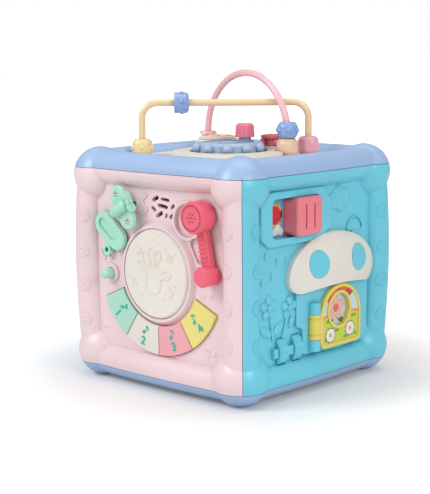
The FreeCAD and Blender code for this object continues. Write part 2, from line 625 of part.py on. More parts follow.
def mushroom():
    body = common("cap_dome", cap_skin("cap_form", 0), pad("cap_side", "right", mushroom_outline(), "flat", "30"))
    wells = [rod("spot_well_%d" % (side + 1), "right", "cap_y + %d * spot_spread" % side, "spot_z", "flat",
                 "spot_radius", "30") for side in (-1, 1)]
    well = cut("spot_wells", fuse("spot_well_pair", wells), [cap_skin("well_floor", 1.8)])
    node("mushroom_cap", cut("mushroom_cap", body, [well]))
    plugs = [rod("spot_plug_%d" % (side + 1), "right", "cap_y + %d * spot_spread" % side, "spot_z", "flat",
                 "spot_radius - 0.15", "30") for side in (-1, 1)]
    for side, plug in zip(("left", "right"), plugs):
        outer = common("spot_outer_" + side, plug, cap_skin("spot_top_" + side, -0.25))
        node("cap_spot_" + side, cut("cap_spot_" + side, outer, [cap_skin("spot_floor_" + side, 1.75)]))


def stem_outline():
    return rounded([point(-14.5, 24.6), point(20, 22.8), point(52, 24.6), point(52, 66), point(-20.5, 66),
                    point(-20.5, 43.5), point(-14.5, 40.5)], 1.6)


def right_panel():
    shell = side_shell("right", 0)
    stem = pad("stem_pad", "right", stem_outline(), "flat - 1", "1 + stem_rise", 0.9)
    added = [window_frame(), stem]
    for row, (u, v, radius) in enumerate([(17.5, 117.5, 5.0), (22.5, 120.5, 5.6), (29.0, 118.6, 5.2),
                                          (24.5, 114.8, 4.6)]):
        added.append(rod("cloud_%d" % row, "right", u, v, "flat - 0.5", radius, "1.3"))
    added.append(common("toadstool_cap", dome("toadstool_dome", "right", 39.5, 97.5, 7.4, 1.5),
                        brick("toadstool_half", "right", 31.5, 97.5, "flat - 1", 16, 8, 4)))
    added.append(pad("toadstool_stem", "right", plate(36.4, 42.6, 91.0, 98.0, 1.2), "flat - 0.5", "1.4"))
    for row, (u, v) in enumerate([(-47.5, 90.0), (-37.0, 85.4), (-28.6, 85.0), (-50.6, 74.6), (-41.8, 77.2)]):
        added.append(pad("drop_%d" % row, "right", slot(u, v, 4.4, 2.0, 90), "flat - 0.5", "1.3", 0.6))
    added += flower("flower_left", -45.0, 58.5, 6.4)
    added += flower("flower_right", -25.5, 56.0, 6.4)
    for row, (u, v, length, angle) in enumerate([(-42.4, 46.5, 18, 100), (-29.6, 46.0, 17, 70)]):
        added.append(pad("stalk_%d" % row, "right", slot(u, v, length, 1.6, angle), "flat - 0.5", "1.4"))
    for row, (u, v, angle) in enumerate([(-47.4, 44.0, 150), (-36.0, 44.5, 35)]):
        added.append(pad("leaf_%d" % row, "right", slot(u, v, 10.0, 5.0, angle), "flat - 0.5", "1.5", 0.7))
    hinge_w = "flat + hinge_rise"
    for name, low, high in (("low", "knuckle_low", "barrel_low - 0.25"), ("high", "barrel_high + 0.25", "knuckle_high")):
        added.append(rod("knuckle_" + name, "top", hinge_w, "hinge_y", low, "knuckle_radius", "%s - (%s)" % (high, low)))
        added.append(brick("knuckle_root_" + name, "right", "hinge_y - knuckle_radius", low, "flat - 1",
                           "2 * knuckle_radius", "%s - (%s)" % (high, low), "1 + hinge_rise"))
    wheel_w = "flat + wheel_rise - wheel_radius"
    for name, start, end in (("outer", "wheel_y - wheel_thick / 2 - 4.4", "wheel_y - wheel_thick / 2 - 0.4"),
                             ("inner", "wheel_y + wheel_thick / 2 + 0.4",
                              "wheel_y + wheel_pitch - wheel_thick / 2 - 0.4"),
                             ("end", "wheel_y + wheel_pitch + wheel_thick / 2 + 0.4",
                              "wheel_y + wheel_pitch + wheel_thick / 2 + 3.0")):
        added.append(brick("axle_block_" + name, "right", start, "wheel_z - 2.8", wheel_w + " - 3.2",
                           "%s - (%s)" % (end, start), "5.6", "wheel_radius - wheel_rise + 3.2 + 2.7"))
    added += motifs("right_motif", "right")
    for row, start in enumerate(("window_left - 4", "window_right + 1.5")):
        added.append(brick("card_rail_%d" % row, "right", start, "window_low - 3.4", "flat - wall - 1.6", "2.5",
                           "window_high - window_low + 6.8", "2"))
    solid = fuse("right_full", [shell] + added)
    tools = [pad("cap_bed", "right", mushroom_outline(), "flat", "30"),
             pad("window_hole", "right", plate(size("window_left"), size("window_right"), size("window_low"),
                                               size("window_high"), 4.0), "flat - 3 * wall", "6 * wall")]
    for side in range(2):
        tools.append(rod("wheel_hole_%d" % side, "front", wheel_w, "wheel_z",
                         "-(wheel_y + %d * wheel_pitch + wheel_thick / 2 + 0.35)" % side,
                         "wheel_radius + wheel_gap", "wheel_thick + 0.7"))
    tools.append(rod("axle_bore", "front", wheel_w, "wheel_z", "-(wheel_y + wheel_pitch + wheel_thick / 2 + 1.5)",
                     "wheel_axle + 0.02", "wheel_pitch + wheel_thick + 4.5"))
    tools.append(rod("pin_bore", "top", hinge_w, "hinge_y", "knuckle_low + 2", "pin_radius + 0.02",
                     "knuckle_high - knuckle_low - 4"))
    tools.append(rod("barrel_room", "top", hinge_w, "hinge_y", "barrel_low - 0.25", "knuckle_radius + 0.3",
                     "barrel_high - barrel_low + 0.5"))
    tools.append(rod("picture_bed", "right", "porthole_y", "porthole_z", "flat + stem_rise - card_thick",
                     "door_picture_radius + 0.1", "6"))
    node("right_panel", cut("right_panel", solid, tools))


def window_slider():
    """A knob that slides across the window, held by strips behind the panel wall."""
    left = size("slider_right") - size("slider_width")
    right = size("slider_right")
    low, high = size("window_low") + size("slider_gap"), size("window_high") - size("slider_gap")
    knob = pad("slider_knob", "right", plate(left, right, low, high, 3.6), "flat - wall - 1.4",
               "slider_rise + wall + 1.4", 1.8)
    strip = pad("slider_strip", "right", plate(left + 1, right - 1, low - 2.4, high + 2.4, 1.0),
                "flat - wall - 1.4", "1.2")
    middle = (left + right) / 2
    grooves = [pad("slider_groove_%d" % row, "right", slot(middle + 4.0 * (2 * row - 1), (low + high) / 2, 15.0, 1.3, 90),
                   "flat + slider_rise - 0.9", "4") for row in range(2)]
    node("window_slider", cut("window_slider", fuse("slider_body", [knob, strip]), grooves))
    card = plate(size("window_left") - 4, size("window_right") + 4, size("window_low") - 4,
                 size("window_high") + 4, 2.0)
    node("picture_card", pad("picture_card", "right", card, "flat - wall - 1.6 - card_thick", "card_thick"))


def door():
    left = size("hinge_y") + size("knuckle_radius") + 0.35
    right, low, high = size("door_right"), size("door_low"), size("door_high")
    middle, radius = (left + right) / 2, (right - left) / 2
    spring_line = high - radius
    leaf_outline = [arc(middle, spring_line, radius, 0, 180),
                    Part.LineSegment(point(left, spring_line), point(left, low + 5)),
                    arc(left + 5, low + 5, 5, 180, 270), Part.LineSegment(point(left + 5, low), point(right - 5, low)),
                    arc(right - 5, low + 5, 5, 270, 360),
                    Part.LineSegment(point(right, low + 5), point(right, spring_line))]
    base = "flat + stem_rise + door_lift"
    leaf = pad("leaf", "right", leaf_outline, base, "door_thick", 0.8)
    inset = 2.4
    field_outline = [arc(middle, spring_line, radius - inset, 0, 180),
                     Part.LineSegment(point(left + inset, spring_line), point(left + inset, low + 5)),
                     arc(left + 5, low + 5, 5 - inset, 180, 270),
                     Part.LineSegment(point(left + 5, low + inset), point(right - 5, low + inset)),
                     arc(right - 5, low + 5, 5 - inset, 270, 360),
                     Part.LineSegment(point(right - inset, low + 5), point(right - inset, spring_line))]
    field = pad("door_field", "right", field_outline, base + " + door_thick - 0.5", "3")
    collar = rod("porthole_collar", "right", "porthole_y", "porthole_z", base, "porthole_radius + 1.6",
                 "door_thick + 0.3")
    hinge_w = "flat + hinge_rise"
    barrel = rod("barrel", "top", hinge_w, "hinge_y", "barrel_low", "knuckle_radius", "barrel_high - barrel_low")
    web = brick("barrel_web", "right", "hinge_y", "barrel_low", base, "knuckle_radius + 1.6",
                "barrel_high - barrel_low", "door_thick - 0.2")
    grooves = [ring("barrel_groove_%d" % row, "top", hinge_w, "hinge_y", level, "knuckle_radius + 0.1", 0.55)
               for row, level in enumerate(("barrel_low + 3.0", "barrel_high - 2.6"))]
    panel = fuse("door_plate", [cut("door_recess", leaf, [field]), collar])
    body = fuse("door_body", [panel, barrel, web])
    tools = grooves + [rod("porthole", "right", "porthole_y", "porthole_z", "flat", "porthole_radius", "20"),
                       rod("barrel_bore", "top", hinge_w, "hinge_y", "barrel_low - 1", "pin_radius + run_gap",
                           "barrel_high - barrel_low + 2")]
    node("door", cut("door", body, tools))
    node("hinge_pin", rod("hinge_pin", "top", hinge_w, "hinge_y", "knuckle_low + 2.1", "pin_radius",
                          "knuckle_high - knuckle_low - 4.2"))
    node("door_picture", rod("door_picture", "right", "porthole_y", "porthole_z",
                             "flat + stem_rise - card_thick", "door_picture_radius", "card_thick"))


def click_wheels():
    wheel_w = "flat + wheel_rise - wheel_radius"
    for side in range(2):
        start = "-(wheel_y + %d * wheel_pitch + wheel_thick / 2)" % side
        disc_body = rod("wheel_disc_%d" % side, "front", wheel_w, "wheel_z", start, "wheel_radius", "wheel_thick")
        softened = doc.addObject("Part::Chamfer", "wheel_edge_%d" % side)
        softened.Base = disc_body
        softened.Edges = [(1, 1.0, 1.0), (3, 1.0, 1.0)]
        notches = []
        for row in range(12):
            turn = math.radians(30 * row)
            notches.append(rod("wheel_notch_%d_%d" % (side, row), "front",
                               "%s + (wheel_radius + 0.5) * %.6f" % (wheel_w, math.cos(turn)),
                               "wheel_z + (wheel_radius + 0.5) * %.6f" % math.sin(turn),
                               start + " - 1", 1.1, "wheel_thick + 2"))
        bore = rod("wheel_bore_%d" % side, "front", wheel_w, "wheel_z", start + " - 1", "wheel_axle + run_gap",
                   "wheel_thick + 2")
        node("click_wheel_%d" % (side + 1), cut("click_wheel_%d" % (side + 1), softened, notches + [bore]))
    node("wheel_axle", rod("wheel_axle", "front", wheel_w, "wheel_z",
                           "-(wheel_y + wheel_pitch + wheel_thick / 2 + 1.4)", "wheel_axle",
                           "wheel_pitch + wheel_thick + 4.3"))


def plain_panels():
    node("back_panel", side_shell("back", 90))
    node("left_panel", side_shell("left", 180))


# ---------------------------------------------------------------- top and bottom
def slab(name, low, high):
    return brick(name, "top", -SPAN / 2, -SPAN / 2, low, SPAN, SPAN, "%s - (%s)" % (high, low))


def top_frame():
    upper = common("top_block", form, slab("top_slab", "seam_high + seam_gap", "ball_high + 2 * ball_radius"))
    opening = brick("top_opening", "top", "-ledge_inner", "-ledge_inner", "seam_high - 1", "2 * ledge_inner",
                    "2 * ledge_inner", "ledge_top - seam_high + 2")
    lip = cut("top_lip", brick("top_lip_outer", "top", "wall - flat", "wall - flat", "seam_high + seam_gap - lip_rise",
                               "2 * (flat - wall)", "2 * (flat - wall)", "lip_rise + 0.5"),
              [brick("top_lip_inner", "top", "wall + lip_thick - flat", "wall + lip_thick - flat",
                     "seam_high - 2 * lip_rise", "2 * (flat - wall - lip_thick)", "2 * (flat - wall - lip_thick)",
                     "4 * lip_rise")])
    node("top_frame", fuse("top_frame", [cut("top_ring", upper, [opening]), lip]))


def bottom_frame():
    lower = common("bottom_block", form, slab("bottom_slab", "0", "seam_low - seam_gap"))
    bay = brick("battery_bay", "top", -30, -20, "floor_low - 1", 60, 40, "10")
    step = brick("door_step", "top", -32.5, -22.5, "floor_low - 1", 65, 45, "2.5")
    lip = cut("bottom_lip", brick("bottom_lip_outer", "top", "wall - flat", "wall - flat", "seam_low - 1",
                                  "2 * (flat - wall)", "2 * (flat - wall)", "lip_rise + 1"),
              [brick("bottom_lip_inner", "top", "wall + lip_thick - flat", "wall + lip_thick - flat",
                     "seam_low - 3", "2 * (flat - wall - lip_thick)", "2 * (flat - wall - lip_thick)",
                     "4 * lip_rise")])
    posts = []
    holes = []
    for row, (u, v) in enumerate([(-1, -1), (1, -1), (1, 1), (-1, 1)]):
        place = ("%d * screw_spread" % u, "%d * screw_spread" % v)
        posts.append(rod("screw_post_%d" % row, "top", *place, "floor_low + 1", "post_radius + 1", "10"))
        holes.append(rod("screw_hole_%d" % row, "top", *place, "floor_low - 1", 1.42, "9.5"))
    node("bottom_frame", cut("bottom_frame", fuse("bottom_full", [lower, lip] + posts), [bay, step] + holes))
    door_plate = pad("battery_door_plate", "top", plate(-32.3, 32.3, -22.3, 22.3, 1.0), "floor_low + 0.1", "1.4")
    finger = pad("door_latch_dent", "top", slot(0, 17.5, 14, 5, 0), "floor_low - 0.5", "1.2")
    node("battery_door", cut("battery_door", door_plate, [finger]))


def deck():
    """The cream play deck, cut to the rails and balls round it, with its raised seats."""
    gear = ("gear_x", "gear_y")
    blank = brick("deck_blank", "top", "-frame_offset", "-frame_offset", "ledge_top", "2 * frame_offset",
                  "2 * frame_offset", "deck_top - ledge_top")
    frame = []
    for side in range(4):
        rail = bowed_rail("deck_rail_%d" % side, 90 * side, "rail_high")
        tie(rail, "Radius2", "frame_radius + seam_gap")
        along = 1 if side in (0, 3) else -1
        across = 1 if side in (0, 1) else -1
        frame.append(rail)
        frame.append(ball("deck_ball_%d" % side, "top", "%d * ball_spread" % along, "%d * ball_spread" % across,
                          "ball_high", "ball_radius + seam_gap"))
    board = cut("deck_board", blank, frame)
    low = "deck_top - 0.5"
    step = taper("platform", "top", *gear, low, "platform_radius + 1.2", "platform_radius",
                 "platform_top - deck_top + 0.5")
    dome = taper("dial_dome", "top", "dial_x", "dial_y", low, "dial_radius + 5.5", "dial_radius + 1.2",
                 "dial_low - deck_top + 0.3")
    mound = taper("spinner_mound", "top", "spinner_x", "spinner_y", low, "spinner_pitch + 3.5", "spinner_pitch",
                  "spinner_low - deck_top + 0.3")
    pedestal = taper("wire_pedestal", "top", "pink_left_x", "pink_left_y", low, 5.0, 4.2,
                     "pink_foot - 1.3 - deck_top + 0.5")
    shafts = [rod("gear_shaft", "top", *gear, low, "shaft_radius", "gear_high - 1 - deck_top"),
              rod("dial_shaft", "top", "dial_x", "dial_y", low, "shaft_radius", "dial_high - 0.9 - deck_top"),
              rod("spinner_shaft", "top", "spinner_x", "spinner_y", low, "shaft_radius",
                  "spinner_high - 1.5 - deck_top")]
    raised = fuse("deck_raised", [step, dome, mound, pedestal] + shafts)
    trimmed = cut("deck_trimmed", raised, [frame[0], frame[2], frame[4], frame[6]])
    body = fuse("deck_body", [board, trimmed])
    sockets = []
    for row, (u, v) in enumerate(wire_feet()):
        sockets.append(rod("wire_socket_%d" % row, "top", u, v, "ledge_top + socket_floor", "wire_radius + 0.03", "40"))
    node("deck", cut("deck", body, sockets))


# ---------------------------------------------------------------- top play pieces
def gear():
    """A round gear with ball teeth and a crank stem."""
    disc_body = rod("gear_disc", "top", "gear_x", "gear_y", "gear_low", "gear_body + 1.2",
                    "gear_high - gear_low - 1.6")
    shoulder = taper("gear_edge", "top", "gear_x", "gear_y", "gear_high - 1.6", "gear_body + 1.2",
                     "gear_body - 0.4", "1.6")
    eased = fuse("gear_round", [disc_body, shoulder])
    teeth = []
    for row in range(int(size("gear_teeth"))):
        turn = math.radians(-50.5 + 360.0 / size("gear_teeth") * row)
        teeth.append(ball("tooth_%d" % row, "top", "gear_x + gear_pitch * %.6f" % math.cos(turn),
                          "gear_y + gear_pitch * %.6f" % math.sin(turn), "gear_low + tooth_radius", "tooth_radius",
                          math.degrees(turn)))
    crank = math.radians(size("crank_angle"))
    stem_u = "gear_x + crank_arm * %.6f" % math.cos(crank)
    stem_v = "gear_y + crank_arm * %.6f" % math.sin(crank)
    stem = rod("crank_stem", "top", stem_u, stem_v, "gear_high - 1", "shaft_radius", "crank_high - 2 - gear_high + 1")
    washer = rod("crank_washer", "top", stem_u, stem_v, "gear_high - 1", "shaft_radius + 1.6",
                 "crank_low - gear_high + 0.8")
    rim = cut("gear_rim", rod("gear_rim_outer", "top", "gear_x", "gear_y", "gear_high - 0.6", "gear_body - 2.2", "3"),
              [rod("gear_rim_inner", "top", "gear_x", "gear_y", "gear_high - 2", "shaft_radius + 4.2", "8")])
    keep = rod("rim_keep", "top", stem_u, stem_v, "gear_high - 2", "shaft_radius + 2.6", "8")
    body = cut("gear_dished", fuse("gear_toothed", [eased] + teeth), [cut("gear_dish", rim, [keep])])
    bore = rod("gear_bore", "top", "gear_x", "gear_y", "gear_low - 1", "shaft_radius + run_gap",
               "gear_high - gear_low + 0.2")
    node("gear", cut("gear", fuse("gear_body", [body, stem, washer]), [bore]))
    grip = taper("crank_grip", "top", stem_u, stem_v, "crank_low", "crank_radius", "crank_radius - 0.5",
                 "crank_high - crank_low - 1.2")
    crown = taper("crank_crown", "top", stem_u, stem_v, "crank_high - 1.2", "crank_radius - 0.5",
                  "crank_radius - 1.7", "1.2")
    flutes = []
    for row in range(14):
        turn = math.radians(360.0 / 14 * row)
        flutes.append(rod("flute_%d" % row, "top", "%s + (crank_radius + 0.25) * %.6f" % (stem_u, math.cos(turn)),
                          "%s + (crank_radius + 0.25) * %.6f" % (stem_v, math.sin(turn)), "crank_low - 1", 0.8,
                          "crank_high - crank_low - 0.8"))
    socket = rod("crank_socket", "top", stem_u, stem_v, "crank_low - 1", "shaft_radius + run_gap",
                 "crank_high - crank_low - 0.6")
    node("crank_knob", cut("crank_knob", fuse("crank_body", [grip, crown]), flutes + [socket]))


def dial():
    plate_body = rod("dial_plate", "top", "dial_x", "dial_y", "dial_low", "dial_radius",
                     "dial_high - dial_low - 0.5")
    edge = taper("dial_edge", "top", "dial_x", "dial_y", "dial_high - 0.5", "dial_radius", "dial_radius - 0.5",
                 "0.5")
    arrow = pad("dial_pointer", "top", slot(size("dial_x") + 2.0, size("dial_y") - 2.6, 13.0, 3.2, -52),
                "dial_high - 0.3", "1.4", 0.5)
    bore = rod("dial_bore", "top", "dial_x", "dial_y", "dial_low - 1", "shaft_radius + run_gap",
               "dial_high - dial_low + 0.3")
    node("dial", cut("dial", fuse("dial_body", [plate_body, edge, arrow]), [bore]))


def spinner():
    hub = taper("spinner_hub", "top", "spinner_x", "spinner_y", "spinner_low", "spinner_body",
                "spinner_body - 0.8", "spinner_high - spinner_low - 0.8")
    rim = rod("spinner_rim", "top", "spinner_x", "spinner_y", "spinner_high - 1.6", "spinner_body + 1.0", "1.6")
    well = rod("spinner_well", "top", "spinner_x", "spinner_y", "spinner_high - 0.7", "spinner_body - 0.8", "3")
    bumps = []
    for row in range(6):
        turn = math.radians(-50 + 60 * row)
        bumps.append(ball("bump_%d" % row, "top", "spinner_x + spinner_pitch * %.6f" % math.cos(turn),
                          "spinner_y + spinner_pitch * %.6f" % math.sin(turn), "spinner_low + bump_radius",
                          "bump_radius", math.degrees(turn)))
    bore = rod("spinner_bore", "top", "spinner_x", "spinner_y", "spinner_low - 1", "shaft_radius + run_gap",
               "spinner_high - spinner_low - 0.3")
    node("spinner", cut("spinner", fuse("spinner_solid", [hub, rim] + bumps), [well, bore]))


DIAGONAL = 42.84
RUN = FreeCAD.Vector(math.cos(math.radians(DIAGONAL)), math.sin(math.radians(DIAGONAL)), 0)
BACK = FreeCAD.Vector(-math.sin(math.radians(DIAGONAL)), math.cos(math.radians(DIAGONAL)), 0)


def yellow_point(along, height):
    """A point in the upright plane of the yellow wire."""
    return RUN * along + BACK * size("yellow_back") + FreeCAD.Vector(0, 0, height)


def wire_feet():
    left = yellow_point(-size("yellow_left"), 0)
    right = yellow_point(size("yellow_right"), 0)
    return [(left.x, left.y), (right.x, right.y), (size("pink_left_x"), size("pink_left_y")),
            (size("pink_right_x"), size("pink_right_y"))]


def swept_wire(name, path):
    """A round wire along a path of lines and arcs that starts straight up."""
    spine = Part.Wire(path)
    start = path[0].Vertexes[0].Point
    section = Part.Wire([Part.Circle(start, FreeCAD.Vector(0, 0, 1), size("wire_radius")).toShape()])
    wire = doc.addObject("Part::Feature", name)
    wire.Shape = spine.makePipeShell([section], True, False)
    wire.Placement = FreeCAD.Placement()
    return wire


def yellow_wire():
    foot = size("ledge_top") + size("socket_floor")
    top = size("yellow_top")
    bend = size("yellow_bend")
    left, right = -size("yellow_left"), size("yellow_right")
    lean = bend * (1 - math.sqrt(0.5))
    edges = [Part.LineSegment(yellow_point(left, foot), yellow_point(left, top - bend)).toShape(),
             Part.Arc(yellow_point(left, top - bend), yellow_point(left + lean, top - lean),
                      yellow_point(left + bend, top)).toShape(),
             Part.LineSegment(yellow_point(left + bend, top), yellow_point(right - bend, top)).toShape(),
             Part.Arc(yellow_point(right - bend, top), yellow_point(right - lean, top - lean),
                      yellow_point(right, top - bend)).toShape(),
             Part.LineSegment(yellow_point(right, top - bend), yellow_point(right, foot)).toShape()]
    node("yellow_wire", swept_wire("yellow_wire", edges))


def pink_wire():
    """An arch between two feet: straight legs joined by one half ellipse made of tangent arcs."""
    left = FreeCAD.Vector(size("pink_left_x"), size("pink_left_y"), 0)
    right = FreeCAD.Vector(size("pink_right_x"), size("pink_right_y"), 0)
    across = (right - left).normalize()
    span = (right - left).Length
    up = FreeCAD.Vector(0, 0, 1)
    crest = size("pink_top") - size("wire_radius")
    radius = span / 2
    spring = crest - radius
    foot = up * (size("ledge_top") + size("socket_floor"))
    middle = left + across * radius + up * spring
    edges = [Part.LineSegment(left + foot, left + up * spring).toShape(),
             Part.Arc(left + up * spring, middle + up * radius, right + up * spring).toShape(),
             Part.LineSegment(right + up * spring, right + foot).toShape()]
    node("pink_wire", swept_wire("pink_wire", edges))
    collar = taper("wire_flange_body", "top", "pink_left_x", "pink_left_y", "pink_foot - 1.3", 6.0, 5.4, "1.9")
    hole = rod("wire_flange_hole", "top", "pink_left_x", "pink_left_y", "pink_foot - 5", "wire_radius + 0.05", "20")
    node("wire_flange", cut("wire_flange", collar, [hole]))


def knobbed_bead(name, u, v, low, radius, height, knobs, gap="bead_gap"):
    """A barrel bead with a ring of small knobs, on an upright wire."""
    round_form = ball(name + "_ball", "top", u, v, "%s + %.2f" % (low, height / 2), math.hypot(radius - 1.8, height / 2))
    body = common(name + "_barrel", round_form, rod(name + "_drum", "top", u, v, low, radius, height))
    if knobs:
        studs = [ball("%s_stud_%d" % (name, row), "top", u + radius * math.cos(math.radians(60 * row + 15)),
                      v + radius * math.sin(math.radians(60 * row + 15)), "%s + %.2f" % (low, height / 2), 1.6)
                 for row in range(knobs)]
        body = fuse(name + "_knobbed", [body] + studs)
    bore = rod(name + "_bore", "top", u, v, "%s - 1" % low, "wire_radius + " + gap, height + 2)
    return cut(name, body, [bore])


def beads():
    left, right, _, pink = wire_feet()
    floor = "deck_top + 0.1"
    node("bead_yellow", knobbed_bead("bead_yellow", left[0], left[1], floor, 6.6, 10.4, 6))
    facets = doc.addObject("Part::Prism", "facet_prism")
    facets.Polygon = 8
    facets.Circumradius = 7.0
    facets.Height = 11.2
    seat(facets, "top", right[0], right[1], floor, 22.5)
    waist = ball("facet_ball", "top", right[0], right[1], floor + " + 5.6", 7.6)
    pole = rod("facet_bore", "top", right[0], right[1], floor + " - 1", "wire_radius + bead_gap", 14)
    node("bead_pink", cut("bead_pink", common("facet_body", facets, waist), [pole]))
    node("bead_tan", knobbed_bead("bead_tan", pink[0], pink[1], floor, 7.0, 10.8, 0))
    node("bead_blue", knobbed_bead("bead_blue", pink[0], pink[1], floor + " + 11.1", 6.6, 10.2, 6, "bead_loose"))
    half = size("runner_length") / 2
    centre = yellow_point(size("runner_along"), size("yellow_top"))
    lay = FreeCAD.Rotation(FreeCAD.Vector(0, 1, 0), 90)
    wheel = rod("run_disc", "top", 0, 0, 0, 6.7, "runner_length")
    eased = doc.addObject("Part::Chamfer", "run_edge")
    eased.Base = wheel
    eased.Edges = [(1, 1.4, 1.4), (3, 1.4, 1.4)]
    studs = [ball("run_stud_%d" % row, "top", 6.5 * math.cos(math.radians(60 * row + 20)),
                  6.5 * math.sin(math.radians(60 * row + 20)), "runner_length / 2", 1.5) for row in range(6)]
    pipe = rod("run_bore", "top", 0, 0, -1, "wire_radius + bead_gap", "runner_length + 2")
    bead = cut("bead_runner", fuse("run_body", [eased] + studs), [pipe])
    turn = FreeCAD.Rotation(FreeCAD.Vector(0, 0, 1), DIAGONAL) * lay
    bead.Placement = FreeCAD.Placement(centre - RUN * half, turn)
    node("bead_runner", bead)


# ---------------------------------------------------------------- works inside
def works():
    """Speaker, circuit board, switch strip, battery box and cells, and the case screws."""
    u, v = 4.5, 118.0
    magnet = rod("speaker_magnet", "front", u, v, "flat - wall - 12", 7.0, "6")
    basket = taper("speaker_basket", "front", u, v, "flat - wall - 6.2", 8.0, 11.5, "3.2")
    rim = rod("speaker_rim", "front", u, v, "flat - wall - 3.2", 12.6, "3.2")
    hole = rod("speaker_cone", "front", u, v, "flat - wall - 2.4", 11.2, "4")
    node("speaker", cut("speaker", fuse("speaker_solid", [magnet, basket, rim]), [hole]))
    board = pad("board", "front", plate(-44, 46, 20, 68, 2.0), "flat - wall - board_depth", "1.6")
    node("circuit_board", board)
    domes = []
    for number in range(4):
        middle = math.radians(size("key_first") + (number + 0.5) * size("key_span"))
        radius = 0.5 * (size("key_inner") + size("key_outer"))
        u = size("key_centre_x") + radius * math.cos(middle)
        v = size("key_centre_z") + radius * math.sin(middle)
        domes.append((u, v))
    domes.append((0.0, size("drum_z") - 12))
    contacts = [taper("switch_%d" % row, "front", u, v, "flat - wall - board_depth + 1.6", 3.4, 1.8, "4.2")
                for row, (u, v) in enumerate(domes)]
    web = pad("switch_web", "front", plate(-36.5, 38, 30, 66, 2.0), "flat - wall - board_depth + 1.6", "0.8")
    node("switch_mat", fuse("switch_mat", [web] + contacts))
    box_wall = brick("box_outer", "top", -30.8, -21, "seam_low - seam_gap", 61.6, 42, "13")
    box_room = brick("box_inner", "top", -29.2, -19.4, "seam_low - 1", 58.4, 38.8, "12.4")
    node("battery_box", cut("battery_box", box_wall, [box_room]))
    cells = []
    for row in range(3):
        lift = -12.6 + 12.6 * row
        lay = FreeCAD.Rotation(FreeCAD.Vector(0, 1, 0), 90)
        cells.append(rod("cell_%d" % row, "top", -25, lift, "floor_low + 7.5", 6.0, 49, lay))
        cells.append(rod("cell_tip_%d" % row, "top", 24, lift, "floor_low + 7.5", 2.6, 1.2, lay))
    pairs = [fuse("cell_full_%d" % row, cells[2 * row:2 * row + 2]) for row in range(3)]
    group = doc.addObject("Part::Compound", "batteries")
    group.Links = pairs
    node("batteries", group)
    springs = []
    for row in range(3):
        lift = -12.6 + 12.6 * row
        lay = FreeCAD.Rotation(FreeCAD.Vector(0, 1, 0), 90)
        spring = doc.addObject("Part::Cone", "spring_%d" % row)
        spring.Radius1 = 3.6
        spring.Radius2 = 2.2
        spring.Height = 3.8
        seat(spring, "top", -28.8, lift, "floor_low + 7.5", 0, lay)
        springs.append(fuse("spring_tab_%d" % row, [brick("tab_left_%d" % row, "top", -29.2, lift - 4.2,
                                                          "floor_low + 3.5", 0.5, 8.4, 8), spring]))
        nub = rod("nub_%d" % row, "top", 25.2, lift, "floor_low + 7.5", 1.6, 3.6, lay)
        springs.append(fuse("nub_tab_%d" % row, [brick("tab_right_%d" % row, "top", 28.7, lift - 4.2,
                                                       "floor_low + 3.5", 0.5, 8.4, 8), nub]))
    tabs = doc.addObject("Part::Compound", "battery_contacts")
    tabs.Links = springs
    node("battery_contacts", tabs)
    screws = []
    for row, (u, v) in enumerate([(-1, -1), (1, -1), (1, 1), (-1, 1)]):
        head = rod("screw_head_%d" % row, "top", "%d * screw_spread" % u, "%d * screw_spread" % v,
                   "floor_low - 1.4", 2.9, "1.4")
        shank = rod("screw_shank_%d" % row, "top", "%d * screw_spread" % u, "%d * screw_spread" % v,
                    "floor_low - 0.2", 1.4, "8")
        screws.append(fuse("screw_%d" % row, [head, shank]))
    set_of_screws = doc.addObject("Part::Compound", "case_screws")
    set_of_screws.Links = screws
    node("case_screws", set_of_screws)


front_panel()
drum_head()
for number in range(4):
    key(number)
airplane()
propeller()
paddle()
peg()
handset()
mushroom()
right_panel()
window_slider()
door()
click_wheels()
plain_panels()
top_frame()
bottom_frame()
deck()
gear()
dial()
spinner()
yellow_wire()
pink_wire()
beads()
works()
doc.recompute()

# ---------------------------------------------------------------- check and write
failed = [obj.Name for obj in doc.Objects if "Invalid" in obj.State or "Error" in obj.State]
if failed:
    raise RuntimeError("failed objects: " + ", ".join(failed))
for name, obj in NODES.items():
    if obj.Shape.isNull() or not obj.Shape.isValid():
        raise RuntimeError("bad shape: " + name)
for name, obj in NODES.items():
    obj.Shape.exportStep(os.path.join("parts", name + ".step"))
    print("%-18s solids %d volume %.0f" % (name, len(obj.Shape.Solids), obj.Shape.Volume))
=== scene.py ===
"""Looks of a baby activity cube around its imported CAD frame. Lengths are metres; mm() turns millimetres into them."""
import json
import math

import bmesh
import bpy
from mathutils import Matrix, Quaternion, Vector

